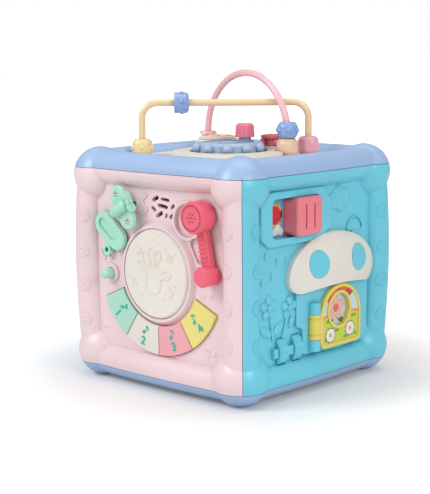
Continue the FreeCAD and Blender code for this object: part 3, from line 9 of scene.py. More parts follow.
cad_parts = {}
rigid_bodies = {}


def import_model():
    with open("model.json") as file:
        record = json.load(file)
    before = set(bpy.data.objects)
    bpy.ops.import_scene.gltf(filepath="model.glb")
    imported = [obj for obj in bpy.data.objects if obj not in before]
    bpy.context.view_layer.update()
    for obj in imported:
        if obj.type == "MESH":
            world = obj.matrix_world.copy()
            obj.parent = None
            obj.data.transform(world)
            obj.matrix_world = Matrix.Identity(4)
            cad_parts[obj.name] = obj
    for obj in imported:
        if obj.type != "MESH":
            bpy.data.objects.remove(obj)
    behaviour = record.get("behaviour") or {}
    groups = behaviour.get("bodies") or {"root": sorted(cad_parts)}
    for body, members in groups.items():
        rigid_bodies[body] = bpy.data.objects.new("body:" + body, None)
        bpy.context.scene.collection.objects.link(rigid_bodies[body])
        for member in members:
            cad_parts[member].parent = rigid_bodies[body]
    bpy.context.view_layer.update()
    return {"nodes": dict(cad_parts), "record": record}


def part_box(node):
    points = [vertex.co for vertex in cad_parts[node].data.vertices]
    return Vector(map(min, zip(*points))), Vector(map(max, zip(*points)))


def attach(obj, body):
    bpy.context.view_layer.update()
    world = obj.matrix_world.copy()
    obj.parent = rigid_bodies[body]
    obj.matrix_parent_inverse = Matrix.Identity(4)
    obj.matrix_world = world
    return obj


for leftover in list(bpy.data.objects):
    bpy.data.objects.remove(leftover, do_unlink=True)

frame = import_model()
NODES = frame["nodes"]
BODY_OF = {node: body for body, members in frame["record"]["behaviour"]["bodies"].items() for node in members}
SLOT_OF = {row["node"]: row["material_slot"] for row in frame["record"]["subparts"]}


def mm(value):
    """Millimetres as metres."""
    return value * 0.001


def middle_of(node, axes):
    """The middle of a node's box along each of the named axes."""
    low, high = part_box(node)
    return tuple((getattr(low, axis) + getattr(high, axis)) / 2 for axis in axes)


def polar(u, v, radius, degrees):
    """The point at some radius and angle from (u, v)."""
    return u + radius * math.cos(math.radians(degrees)), v + radius * math.sin(math.radians(degrees))


# ---------------------------------------------------------------- places read from the frame
DRUM_X, DRUM_Z = middle_of("drum_head", "xz")
DRUM_FACE = -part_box("drum_head")[0].y
KEY_X, KEY_Z = DRUM_X + mm(0.6), DRUM_Z + mm(1.5)
KEY_FACE = -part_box("key_1")[0].y
KEY_FIRST, KEY_SPAN = 203.8, 33.1
NUMERAL_RADIUS, NUMERAL_HEIGHT, NOTE_RADIUS = mm(47.6), mm(5.4), mm(39.8)
PORT_Y, PORT_Z = middle_of("door_picture", "yz")
PICTURE_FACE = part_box("door_picture")[1].x
DOOR_FIELD = PICTURE_FACE + mm(2.4)
door_low, door_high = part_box("door")
card_low, card_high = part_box("picture_card")
CARD_FACE = card_high.x
DIAL = middle_of("dial", "xy")
DIAL_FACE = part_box("dial")[0].z + mm(1.9)
PLANE = middle_of("airplane", "xz")
WING_TOP = -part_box("airplane")[0].y - mm(4.5)
phone_low, phone_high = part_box("handset")
PHONE_FACE = -phone_low.y
GEAR = middle_of("gear", "xy")
BEAD = middle_of("bead_tan", "xy")
SEAT_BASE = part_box("bead_tan")[0].z - mm(0.3)


# ---------------------------------------------------------------- colours and materials
def linear(red, green, blue):
    """An sRGB colour of 0 to 255 as Blender's linear RGBA."""
    out = []
    for channel in (red, green, blue):
        share = channel / 255
        out.append(share / 12.92 if share <= 0.04045 else ((share + 0.055) / 1.055) ** 2.4)
    return (*out, 1.0)


def scaled(colour, factor):
    """A linear colour made brighter or darker."""
    return (*[min(1.0, channel * factor) for channel in colour[:3]], 1.0)


def link(tree, source, target):
    """Joins two sockets of a node tree."""
    tree.links.new(source, target)


def add(tree, kind, **inputs):
    """A shader node with some of its inputs set by name."""
    node = tree.nodes.new(kind)
    for key, value in inputs.items():
        node.inputs[key.replace("_", " ")].default_value = value
    return node


def moulded(name, rgb, roughness=0.34, coat=0.25, mottle=0.035, edge_paling=0.10, peel=0.05, painted_crease_shade=0.62):
    """Moulded plastic: drifting tone, fine mottle, paler edges, painted shade in the creases and a light orange peel.
    """
    colour = linear(*rgb)
    material = bpy.data.materials.new(name)
    material.use_nodes = True
    tree = material.node_tree
    shader = tree.nodes["Principled BSDF"]
    shader.inputs["Coat Weight"].default_value = coat
    shader.inputs["Coat Roughness"].default_value = 0.18
    shader.inputs["IOR"].default_value = 1.48
    place = tree.nodes.new("ShaderNodeTexCoord").outputs["Object"]
    drift = add(tree, "ShaderNodeTexNoise", Scale=14.0, Detail=2.0)
    grain = add(tree, "ShaderNodeTexNoise", Scale=420.0, Detail=3.0)
    for noise in (drift, grain):
        link(tree, place, noise.inputs["Vector"])
    tone = tree.nodes.new("ShaderNodeValToRGB")
    tone.color_ramp.elements[0].position = 0.30
    tone.color_ramp.elements[0].color = scaled(colour, 1 - 1.6 * mottle)
    tone.color_ramp.elements[1].position = 0.70
    tone.color_ramp.elements[1].color = scaled(colour, 1 + 0.8 * mottle)
    link(tree, drift.outputs["Fac"], tone.inputs["Fac"])
    fleck = tree.nodes.new("ShaderNodeMix")
    fleck.data_type = "RGBA"
    fleck.blend_type = "MULTIPLY"
    fleck.inputs["Factor"].default_value = 1.0
    spread = tree.nodes.new("ShaderNodeMapRange")
    spread.inputs["To Min"].default_value = 1 - mottle
    spread.inputs["To Max"].default_value = 1 + 0.5 * mottle
    link(tree, grain.outputs["Fac"], spread.inputs["Value"])
    link(tree, tone.outputs["Color"], fleck.inputs["A"])
    link(tree, spread.outputs["Result"], fleck.inputs["B"])
    last = fleck.outputs["Result"]
    # sharp outer edges, found by pointiness, are made paler
    if edge_paling:
        edge = tree.nodes.new("ShaderNodeNewGeometry").outputs["Pointiness"]
        band = add(tree, "ShaderNodeMapRange")
        band.inputs["From Min"].default_value = 0.52
        band.inputs["From Max"].default_value = 0.62
        band.inputs["To Max"].default_value = edge_paling
        pale = tree.nodes.new("ShaderNodeMix")
        pale.data_type = "RGBA"
        pale.inputs["B"].default_value = scaled(colour, 1.25)
        link(tree, edge, band.inputs["Value"])
        link(tree, band.outputs["Result"], pale.inputs["Factor"])
        link(tree, last, pale.inputs["A"])
        last = pale.outputs["Result"]
    # painted shade: the colour turns darker and deeper where ambient occlusion finds creases, recesses and gaps between
    # parts
    if painted_crease_shade:
        fold = tree.nodes.new("ShaderNodeAmbientOcclusion")
        fold.samples = 8
        fold.inputs["Distance"].default_value = mm(4.5)
        shade = tree.nodes.new("ShaderNodeMapRange")
        shade.inputs["From Min"].default_value = 0.25
        shade.inputs["From Max"].default_value = 0.92
        shade.inputs["To Min"].default_value = painted_crease_shade
        shade.inputs["To Max"].default_value = 0.0
        crease_shade_mix = tree.nodes.new("ShaderNodeMix")
        crease_shade_mix.data_type = "RGBA"
        crease_shade_mix.inputs["B"].default_value = (*[0.72 * channel ** 1.45 for channel in colour[:3]], 1.0)
        link(tree, fold.outputs["AO"], shade.inputs["Value"])
        link(tree, shade.outputs["Result"], crease_shade_mix.inputs["Factor"])
        link(tree, last, crease_shade_mix.inputs["A"])
        last = crease_shade_mix.outputs["Result"]
    link(tree, last, shader.inputs["Base Color"])
    gloss = tree.nodes.new("ShaderNodeMapRange")
    gloss.inputs["To Min"].default_value = roughness - 0.05
    gloss.inputs["To Max"].default_value = roughness + 0.07
    link(tree, drift.outputs["Fac"], gloss.inputs["Value"])
    link(tree, gloss.outputs["Result"], shader.inputs["Roughness"])
    skin = add(tree, "ShaderNodeTexNoise", Scale=900.0, Detail=2.0)
    link(tree, place, skin.inputs["Vector"])
    bump = add(tree, "ShaderNodeBump", Strength=peel, Distance=mm(0.4))
    link(tree, skin.outputs["Fac"], bump.inputs["Height"])
    link(tree, bump.outputs["Normal"], shader.inputs["Normal"])
    return material


def metal(name, rgb, roughness=0.3):
    """Plain machined metal with a fine grain."""
    material = moulded(name, rgb, roughness, 0.0, 0.05, 0.0, 0.08, 0.0)
    material.node_tree.nodes["Principled BSDF"].inputs["Metallic"].default_value = 1.0
    return material


LOOKS = {
    "pink_case": moulded("pink_case", (241, 216, 220), 0.36, 0.2),
    "blue_case": moulded("blue_case", (112, 210, 230), 0.34, 0.25),
    "frame_blue": moulded("frame_blue", (162, 190, 228), 0.36, 0.2),
    "cream": moulded("cream", (237, 231, 220), 0.38, 0.15),
    "key_green": moulded("key_green", (176, 226, 206), 0.36, 0.2),
    "key_cream": moulded("key_cream", (236, 229, 217), 0.36, 0.2),
    "key_pink": moulded("key_pink", (243, 172, 180), 0.36, 0.2),
    "key_yellow": moulded("key_yellow", (240, 226, 128), 0.36, 0.2),
    "mint": moulded("mint", (172, 231, 207), 0.30, 0.3),
    "coral": moulded("coral", (242, 100, 122), 0.28, 0.35),
    "slider_pink": moulded("slider_pink", (248, 132, 144), 0.34, 0.2),
    "door_yellow": moulded("door_yellow", (243, 220, 100), 0.32, 0.25),
    "wire_yellow": moulded("wire_yellow", (247, 216, 170), 0.26, 0.4),
    "wire_pink": moulded("wire_pink", (250, 194, 200), 0.26, 0.4),
    "gear_blue": moulded("gear_blue", (170, 190, 216), 0.32, 0.25),
    "spinner_pink": moulded("spinner_pink", (240, 118, 134), 0.30, 0.3),
    "dial_orange": moulded("dial_orange", (240, 232, 218), 0.32, 0.2),
    "bead_yellow": moulded("bead_yellow", (245, 220, 166), 0.30, 0.3),
    "bead_pink": moulded("bead_pink", (246, 178, 190), 0.26, 0.4),
    "bead_tan": moulded("bead_tan", (240, 202, 172), 0.32, 0.25),
    "bead_blue": moulded("bead_blue", (142, 172, 222), 0.30, 0.3),
    "crank_pink": moulded("crank_pink", (244, 128, 150), 0.30, 0.3),
    "card": moulded("card", (118, 184, 214), 0.45, 0.1),
    "board_green": moulded("board_green", (38, 96, 62), 0.5, 0.0),
    "rubber_grey": moulded("rubber_grey", (126, 126, 130), 0.7, 0.0),
    "cell": moulded("cell", (70, 78, 96), 0.4, 0.1),
    "speaker_black": moulded("speaker_black", (214, 92, 120), 0.6, 0.0),
    "steel": metal("steel", (190, 190, 194)),
}
INK = {name: moulded("ink_" + name, rgb, 0.42, 0.1, 0.03, 0.0, 0.03) for name, rgb in {
    "turquoise": (38, 188, 164), "orange": (240, 108, 62), "red": (226, 56, 66), "sun": (246, 178, 62),
    "white": (244, 243, 240), "sky": (206, 228, 236), "meadow": (206, 218, 74), "grass": (126, 176, 60),
    "brown": (124, 84, 78), "leaf": (62, 142, 96), "peach": (244, 190, 172), "rose": (238, 96, 128),
    "blush": (248, 168, 180), "amber": (244, 158, 74), "shell": (246, 142, 158)}.items()}


def paint(piece, material):
    """Gives a piece one material."""
    piece.data.materials.clear()
    piece.data.materials.append(material)
    return piece


for node, piece in NODES.items():
    paint(piece, LOOKS[SLOT_OF[node]])
paint(NODES["dial"], LOOKS["cream"])
paint(NODES["crank_knob"], LOOKS["crank_pink"])


# ---------------------------------------------------------------- smooth shading
def shading_group(name, degrees):
    """Welds a mesh's split corners and shades it smooth, apart from edges sharper than some angle."""
    group = bpy.data.node_groups.new(name, "GeometryNodeTree")
    group.interface.new_socket("Geometry", in_out="INPUT", socket_type="NodeSocketGeometry")
    group.interface.new_socket("Geometry", in_out="OUTPUT", socket_type="NodeSocketGeometry")
    start = group.nodes.new("NodeGroupInput")
    end = group.nodes.new("NodeGroupOutput")
    weld = group.nodes.new("GeometryNodeMergeByDistance")
    weld.inputs["Distance"].default_value = 1e-6
    faces = group.nodes.new("GeometryNodeSetShadeSmooth")
    edges = group.nodes.new("GeometryNodeSetShadeSmooth")
    edges.domain = "EDGE"
    angle = group.nodes.new("GeometryNodeInputMeshEdgeAngle")
    test = group.nodes.new("FunctionNodeCompare")
    test.operation = "LESS_EQUAL"
    test.inputs["B"].default_value = math.radians(degrees)
    link(group, start.outputs[0], weld.inputs["Geometry"])
    link(group, weld.outputs["Geometry"], faces.inputs["Geometry"])
    link(group, angle.outputs["Unsigned Angle"], test.inputs["A"])
    link(group, faces.outputs["Geometry"], edges.inputs["Geometry"])
    link(group, test.outputs["Result"], edges.inputs["Shade Smooth"])
    link(group, edges.outputs["Geometry"], end.inputs[0])
    return group


SHADING = shading_group("soft_shading", 32)
CASE_SHADING = shading_group("case_shading", 15)
CASE_NODES = ("front_panel", "right_panel", "back_panel", "left_panel", "top_frame", "bottom_frame")


def soften(piece, group=SHADING):
    """Adds smooth shading to a piece."""
    piece.modifiers.new("soft_shading", "NODES").node_group = group
    return piece


for node, piece in NODES.items():
    if "custom_normal" in piece.data.attributes:
        piece.data.attributes.remove(piece.data.attributes["custom_normal"])
    soften(piece, CASE_SHADING if node in CASE_NODES else SHADING)


# ---------------------------------------------------------------- small shapes laid on a face
def at(face, u, v, w):
    """A point given across, up and out of a face."""
    return Vector({"front": (u, -w, v), "right": (w, u, v), "back": (-u, w, v), "left": (-w, -u, v),
                   "top": (u, v, w)}[face])


def put(name, data, material, body):
    """A painted piece in the scene that rides on a body."""
    piece = bpy.data.objects.new(name, data)
    bpy.context.scene.collection.objects.link(piece)
    paint(piece, material)
    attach(piece, body)
    return piece


def piece_from(name, bm, material, body):
    """A clean, softly shaded piece from a bmesh."""
    bmesh.ops.remove_doubles(bm, verts=bm.verts, dist=1e-7)
    bmesh.ops.recalc_face_normals(bm, faces=bm.faces)
    data = bpy.data.meshes.new(name)
    bm.to_mesh(data)
    bm.free()
    return soften(put(name, data, material, body))


def slab(name, face, w, rise, outlines, material, body, round_off=0.3):
    """Thin solid shapes with softened upper edges; each outline is a list of (u, v)."""
    bm = bmesh.new()
    for outline in outlines:
        count = len(outline)
        centre = (sum(p[0] for p in outline) / count, sum(p[1] for p in outline) / count)
        inner = [(p[0] + (centre[0] - p[0]) * 0.06, p[1] + (centre[1] - p[1]) * 0.06) for p in outline]
        rows = [[bm.verts.new(at(face, u, v, level)) for u, v in ring]
                for ring, level in ((outline, w - mm(0.05)), (outline, w + rise * (1 - round_off)), (inner, w + rise))]
        for low, high in zip(rows, rows[1:]):
            for i in range(count):
                bm.faces.new((low[i], low[(i + 1) % count], high[(i + 1) % count], high[i]))
        bm.faces.new(rows[-1])
        bm.faces.new(list(reversed(rows[0])))
    bmesh.ops.triangulate(bm, faces=[f for f in bm.faces if len(f.verts) > 4])
    return piece_from(name, bm, material, body)


def band(name, face, w, rise, pairs, material, body):
    """Thin solid bands; each pair is an outer and an inner line of (u, v), closed if they end where they start."""
    bm = bmesh.new()
    for outer, inner in pairs:
        closed = math.dist(outer[0], outer[-1]) < 1e-6
        last = len(outer) - 1 if closed else len(outer)
        rows = [[bm.verts.new(at(face, u, v, level)) for u, v in line[:last]]
                for line, level in ((outer, w - mm(0.05)), (outer, w + rise), (inner, w + rise), (inner, w - mm(0.05)))]
        steps = last if closed else last - 1
        for a, b in zip(rows, rows[1:] + rows[:1]):
            for i in range(steps):
                j = (i + 1) % last
                bm.faces.new((a[i], a[j], b[j], b[i]))
        if not closed:
            for end in (0, last - 1):
                bm.faces.new([row[end] for row in rows])
    return piece_from(name, bm, material, body)


def ridge(name, face, w, lines, radius, material, body, closed=False):
    """Raised round lines through the points of each line; w is a level or a function of (u, v)."""
    level = w if callable(w) else lambda u, v: w
    curve = bpy.data.curves.new(name, "CURVE")
    curve.dimensions = "3D"
    curve.bevel_depth = radius
    curve.bevel_resolution = 3
    curve.resolution_u = 8
    curve.use_fill_caps = True
    for line in lines:
        spline = curve.splines.new("BEZIER")
        spline.bezier_points.add(len(line) - 1)
        spline.use_cyclic_u = closed
        for knot, (u, v) in zip(spline.bezier_points, line):
            knot.co = at(face, u, v, level(u, v))
            knot.handle_left_type = knot.handle_right_type = "AUTO"
    rope = bpy.data.objects.new(name + "_curve", curve)
    data = bpy.data.meshes.new_from_object(rope)
    bpy.data.objects.remove(rope)
    data.name = name
    return soften(put(name, data, material, body))


def round_line(u, v, radius, start=0.0, end=360.0, steps=40, squeeze=1.0):
    """Points along an arc round (u, v), the last one included."""
    return [(u + radius * math.cos(math.radians(start + (end - start) * i / steps)),
             v + squeeze * radius * math.sin(math.radians(start + (end - start) * i / steps)))
            for i in range(steps + 1)]


def disc(u, v, radius, steps=40, squeeze=1.0):
    """A closed round outline, squeezed along v."""
    return round_line(u, v, radius, steps=steps, squeeze=squeeze)[:-1]


def turned(points, u, v, degrees):
    """Points about the origin, turned and moved to (u, v)."""
    c, s = math.cos(math.radians(degrees)), math.sin(math.radians(degrees))
    return [(u + x * c - y * s, v + x * s + y * c) for x, y in points]


def petal(length, width, steps=20):
    """A drop shape from the origin along +u."""
    out = []
    for i in range(steps):
        t = 2 * math.pi * i / steps
        out.append((length * (1 - math.cos(t)) / 2, width / 2 * math.sin(t) * math.sin(t / 2)))
    return out


def star(radius, inner, points):
    """A star outline round the origin."""
    return [((radius if i % 2 == 0 else inner) * math.cos(math.pi * i / points),
             (radius if i % 2 == 0 else inner) * math.sin(math.pi * i / points)) for i in range(2 * points)]


def blossom(u, v, radius, petals=5, first=90):
    """The petals of a flower, one outline each."""
    return [turned(petal(radius, radius * 0.95), u, v, first + 360 / petals * i) for i in range(petals)]


# ---------------------------------------------------------------- drum: raised hand and small marks
def hand_outline(scale):
    """A child's open hand: four fingers and a thumb round a palm, as one closed line."""
    fingers = [(12, 10.5, 3.2), (72, 14.0, 2.5), (96, 15.2, 2.5), (119, 13.8, 2.4), (147, 11.5, 2.3)]
    palm = 8.6
    points = [(5.4, -11.5), (7.4, -6.0)]
    for angle, length, half in fingers:
        lean = math.radians(angle)
        ahead = Vector((math.cos(lean), math.sin(lean)))
        side = Vector((math.sin(lean), -math.cos(lean)))
        root = ahead * palm
        tip = ahead * (palm + length)
        for spot in (root + side * half * 0.85, tip + side * half - ahead * half, tip,
                     tip - side * half - ahead * half, root - side * half * 0.85):
            points.append((spot.x, spot.y))
    points += [(-8.4, -6.0), (-6.0, -11.5)]
    return [(u * scale, v * scale) for u, v in points]


hand = [(DRUM_X - mm(1.0) + u, DRUM_Z - mm(2.0) + v) for u, v in hand_outline(mm(0.78))]
ridge("drum_hand", "front", DRUM_FACE, [hand], mm(0.5), LOOKS["cream"], "drum", closed=True)
ridge("drum_rings", "front", DRUM_FACE,
      [disc(DRUM_X + mm(13.5), DRUM_Z + mm(11.0), mm(2.6), 12), disc(DRUM_X + mm(13.5), DRUM_Z + mm(11.0), mm(1.1), 8),
       disc(DRUM_X - mm(17.5), DRUM_Z - mm(7.0), mm(2.0), 10)], mm(0.36), LOOKS["cream"], "drum", closed=True)
slab("drum_marks", "front", DRUM_FACE, mm(0.35),
     blossom(DRUM_X + mm(12.5), DRUM_Z - mm(10.5), mm(3.2)) + blossom(DRUM_X - mm(14.5), DRUM_Z + mm(14.0), mm(2.8))
     + [disc(DRUM_X + mm(u), DRUM_Z + mm(v), mm(0.8), 16)
        for u, v in ((9.5, 16.0), (17.5, 14.0), (-1.0, 21.5), (17.0, -5.5), (8.0, -14.5), (-12.0, -14.0))],
     LOOKS["cream"], "drum")


# ---------------------------------------------------------------- columns: rings and hearts
COLUMN_OFFSET, COLUMN_BOW, COLUMN_RADIUS = mm(63.2), mm(2.0), mm(11.02)
COLUMN_MIDDLE, COLUMN_HALF = mm(74.85), mm(57.65)
MOTIF_OUT = mm(62.4)
MOTIF_LEVELS = (107.0, 84.0, 62.0, 39.0)


def on_column(u, v):
    """How far out the skin of a bowed corner column lies at (u, v)."""
    axis = COLUMN_OFFSET + COLUMN_BOW * (1 - ((v - COLUMN_MIDDLE) / COLUMN_HALF) ** 2)
    return axis + math.sqrt(max(0.0, COLUMN_RADIUS ** 2 - (abs(u) - axis) ** 2))


def heart(u, v, size):
    """A heart outline round (u, v)."""
    out = []
    for i in range(16):
        t = 2 * math.pi * i / 16
        out.append((u + size * math.sin(t) ** 3,
                    v + size * (0.81 * math.cos(t) - 0.31 * math.cos(2 * t) - 0.12 * math.cos(3 * t))))
    return out


for face, look in (("front", "pink_case"), ("right", "blue_case"), ("back", "pink_case"), ("left", "blue_case")):
    for side in (-1, 1):
        lines = []
        for row, level in enumerate(MOTIF_LEVELS):
            u, v = side * MOTIF_OUT, mm(level)
            if row % 2:
                lines.append(heart(u, v, mm(2.4)))
            else:
                lines += [disc(u, v, mm(3.3), 12), disc(u, v, mm(1.2), 8)]
        ridge("%s_motifs_%d" % (face, side + 1), face, on_column, lines, mm(0.28), LOOKS[look], "cube", closed=True)


# ---------------------------------------------------------------- keys: numerals and notes
def numeral(digit, u, v, height, degrees, w, body):
    """A raised printed numeral whose top points to the middle of the key ring."""
    text = bpy.data.curves.new("numeral", "FONT")
    text.body = str(digit)
    text.size = 1.0
    text.extrude = 0.02
    text.offset = 0.028
    text.align_x = "CENTER"
    text.align_y = "CENTER"
    holder = bpy.data.objects.new("numeral", text)
    data = bpy.data.meshes.new_from_object(holder)
    bpy.data.objects.remove(holder)
    size = height / 0.72
    c, s = math.cos(math.radians(degrees)), math.sin(math.radians(degrees))
    for vertex in data.vertices:
        x, y, lift = vertex.co
        vertex.co = at("front", u + size * (x * c - y * s), v + size * (x * s + y * c), w + mm(0.1) + lift * mm(7.5))
    put("key_%d_numeral" % digit, data, INK["turquoise"], body)


def note(number, u, v, degrees, w, body):
    """A small music note: an oval head, a stem and a flag."""
    head = turned(disc(0, 0, mm(1.5), 20, 0.78), mm(-0.9), mm(-2.0), 20)
    stem = [(mm(0.0), mm(-1.9)), (mm(0.7), mm(-1.9)), (mm(0.7), mm(3.2)), (mm(0.0), mm(3.2))]
    flag = [(mm(0.6), mm(3.2)), (mm(0.6), mm(1.8)), (mm(1.9), mm(1.0)), (mm(2.4), mm(-0.3)), (mm(2.9), mm(1.2)),
            (mm(2.0), mm(2.2))]
    shapes = [turned(shape, u, v, degrees) for shape in (head, stem, flag)]
    slab("key_%d_note" % number, "front", w, mm(0.14), shapes, INK["turquoise"], body)


for number in range(1, 5):
    middle = KEY_FIRST + KEY_SPAN * (number - 0.5)
    body = BODY_OF["key_%d" % number]
    upright = middle - 270
    numeral(number, *polar(KEY_X, KEY_Z, NUMERAL_RADIUS, middle), NUMERAL_HEIGHT, upright, KEY_FACE, body)
    note(number, *polar(KEY_X, KEY_Z, NOTE_RADIUS, middle), upright, KEY_FACE, body)


# ---------------------------------------------------------------- airplane, handset
def wing_print():
    """A small tulip and three dots on each wing."""
    shapes = {"orange": [], "red": []}
    for side in (-1, 1):
        u = PLANE[0] + side * mm(5.0)
        v = PLANE[1] - side * mm(8.2)
        shapes["orange"] += [turned(petal(mm(2.2), mm(1.3)), u, v, angle) for angle in (20, 90, 160)]
        shapes["red"] += [disc(u + mm(du), v - mm(1.3), mm(0.45), 14) for du in (-1.5, 0, 1.5)]
    for ink, outlines in shapes.items():
        slab("wing_print_" + ink, "front", WING_TOP, mm(0.1), outlines, INK[ink], "airplane")


def handset_discs():
    """A disc in a thin raised ring at each end of the handset, and dots on the ear's disc."""
    ear = (phone_low.x + mm(9.8), phone_high.z - mm(9.8))
    mouth = (phone_high.x - mm(6.2), phone_low.z + mm(6.2))
    for name, spot, ink, radius, steps, ring, ring_steps, wire in (
            ("ear", ear, "blush", 6.6, 48, 7.4, 24, 0.3), ("mouth", mouth, "shell", 3.0, 36, 3.9, 20, 0.26)):
        slab(name + "_disc", "front", PHONE_FACE - mm(0.5), mm(0.45), [disc(*spot, mm(radius), steps)], INK[ink],
             "handset", 0.6)
        ridge(name + "_ring", "front", PHONE_FACE - mm(0.35), [disc(*spot, mm(ring), ring_steps)], mm(wire),
              LOOKS["coral"], "handset", closed=True)
    dots = [disc(*polar(*ear, mm(2.6), 60 * i), mm(0.5), 16) for i in range(6)]
    slab("ear_dots", "front", PHONE_FACE - mm(0.1), mm(0.1), dots + [disc(*ear, mm(0.55), 16)], INK["rose"], "handset")


wing_print()
handset_discs()


# ---------------------------------------------------------------- reliefs on the right, back and left faces
def skin(node, face, u, v):
    """How far out the surface of a case panel lies at (u, v)."""
    outward = at(face, 0, 0, 1)
    return NODES[node].ray_cast(at(face, u, v, mm(300)), -outward)[1].dot(outward)


BLUE_FACE = skin("right_panel", "right", mm(42), mm(108))


def puffs(name, face, w, spots, material, body):
    """Low cushions that bulge out of a face; each spot is u, v, half width, half height, rise and turn."""
    bm = bmesh.new()
    rings, steps = 7, 24
    for u, v, half_u, half_v, rise, degrees in spots:
        rows = []
        for ring in range(rings):
            lift = math.pi / 2 * ring / rings
            oval = [(half_u * math.cos(lift) * math.cos(2 * math.pi * i / steps),
                     half_v * math.cos(lift) * math.sin(2 * math.pi * i / steps)) for i in range(steps)]
            level = w + rise * math.sin(lift)
            rows.append([bm.verts.new(at(face, a, b, level)) for a, b in turned(oval, u, v, degrees)])
        top = bm.verts.new(at(face, u, v, w + rise))
        for low, high in zip(rows, rows[1:]):
            for i in range(steps):
                bm.faces.new((low[i], low[(i + 1) % steps], high[(i + 1) % steps], high[i]))
        for i in range(steps):
            bm.faces.new((rows[-1][i], rows[-1][(i + 1) % steps], top))
        bm.faces.new(list(reversed(rows[0])))
    return piece_from(name, bm, material, body)


def flower_relief(name, u, v):
    """Five plump petals round a button."""
    radius, turns = 7.4, range(90, 450, 72)
    spots = [(*polar(mm(u), mm(v), mm(radius * 0.62), angle), mm(radius * 0.44), mm(radius * 0.40), mm(1.9), angle)
             for angle in turns]
    spots.append((mm(u), mm(v), mm(radius * 0.30), mm(radius * 0.30), mm(2.4), 0))
    puffs(name, "right", BLUE_FACE, spots, LOOKS["blue_case"], "cube")


flower_relief("relief_flower_left", -45.0, 58.5)
flower_relief("relief_flower_right", -25.5, 56.0)
puffs("relief_leaves", "right", BLUE_FACE,
      [(mm(u), mm(v), mm(length), mm(width), mm(1.9), degrees) for u, v, length, width, degrees in (
          (-47.4, 44.0, 5.9, 3.2, 150), (-36.0, 44.5, 5.9, 3.2, 35), (-23.2, 47.6, 4.8, 2.5, 62))],
      LOOKS["blue_case"], "cube")


def puffy(u, v, size, lobes=5):
    """Outline of a cloud with round lobes."""
    out = []
    for a in range(0, 360, 6):
        reach = size * (0.76 + 0.24 * abs(math.cos(math.radians(lobes * (a - 90) / 2))) ** 0.7)
        out.append((u + reach * math.cos(math.radians(a)), v + 0.9 * reach * math.sin(math.radians(a))))
    return out


def toadstool(u, v, size):
    """Outline of a toadstool with a short stem."""
    return [(u + size * a, v + size * b) for a, b in (
        (-1.0, 0.0), (-0.92, 0.36), (-0.66, 0.68), (-0.34, 0.86), (0.0, 0.92), (0.34, 0.86), (0.66, 0.68), (0.92, 0.36),
        (1.0, 0.0), (0.42, -0.06), (0.36, -0.62), (-0.36, -0.62), (-0.42, -0.06))]


puffs("relief_cloud", "right", BLUE_FACE,
      [(mm(u), mm(v), mm(radius), mm(radius), mm(1.7), 0) for u, v, radius in (
          (17.5, 117.5, 5.5), (22.5, 120.5, 6.1), (29.0, 118.6, 5.7), (24.5, 114.8, 5.1))], LOOKS["blue_case"], "cube")
toadstool_rim = ((31.9, 97.8), (33.3, 102.2), (36.2, 104.7), (39.5, 105.5), (42.8, 104.7), (45.7, 102.2), (47.1, 97.8),
                 (42.8, 97.3), (36.2, 97.3))
ridge("relief_toadstool", "right", BLUE_FACE + mm(0.5), [[(mm(u), mm(v)) for u, v in toadstool_rim]], mm(0.6),
      LOOKS["blue_case"], "cube", closed=True)


def plain_side(face, look, turn):
    """Shallow clouds, hearts, a toadstool and two flowers on a face that carries nothing else."""
    level = skin(face + "_panel", face, 0, mm(75))
    flowers = ((turn * mm(-33), mm(62)), (turn * mm(-14), mm(56)))
    slab(face + "_reliefs", face, level, mm(0.9),
         [puffy(turn * mm(-24), mm(108), mm(13)), puffy(turn * mm(20), mm(114), mm(9), 6),
          toadstool(turn * mm(27), mm(52), mm(13)), heart(turn * mm(-3), mm(88), mm(5.5)),
          heart(turn * mm(30), mm(90), mm(4))], LOOKS[look], "cube", 0.85)
    petals = [(*polar(*spot, mm(5.0), 72 * i), mm(3.5), mm(3.1), mm(1.3), 72 * i) for spot in flowers for i in range(5)]
    buttons = [(*spot, mm(2.4), mm(2.4), mm(1.6), 0) for spot in flowers]
    leaves = [(turn * mm(u), mm(v), mm(4.6), mm(1.9), mm(1.3), degrees)
              for u, v, degrees in ((-37, 48, 145), (-28, 47, 40), (-18, 42, 140), (-9, 41, 45))]
    puffs(face + "_flowers", face, level, petals + buttons + leaves, LOOKS[look], "cube")


plain_side("back", "pink_case", 1)
plain_side("left", "blue_case", -1)


# ---------------------------------------------------------------- raised seat round the gear
SEAT_INNER, SEAT_ROOM = mm(25.4), mm(8.2)


def seat_edge(degrees, radius):
    """The seat's rim, drawn in where the tan bead stands."""
    heading = Vector((math.cos(math.radians(degrees)), math.sin(math.radians(degrees))))
    to_bead = Vector((BEAD[0] - GEAR[0], BEAD[1] - GEAR[1]))
    along = heading.dot(to_bead)
    aside = abs(heading.x * to_bead.y - heading.y * to_bead.x)
    if along > 0 and aside < SEAT_ROOM:
        radius = min(radius, along - math.sqrt(SEAT_ROOM ** 2 - aside ** 2))
    return GEAR[0] + radius * heading.x, GEAR[1] + radius * heading.y


def gear_seat():
    """A low cream ring on the deck, stepped once at its rim."""
    turns = [2.5 * i for i in range(145)]
    for name, outer, rise in (("wall", 36.6, 3.0), ("brow", 36.0, 3.5)):
        edges = ([seat_edge(a, mm(outer)) for a in turns], [seat_edge(a, SEAT_INNER) for a in turns])
        band("gear_seat_" + name, "top", SEAT_BASE, mm(rise), [edges], LOOKS["cream"], "cube")


gear_seat()


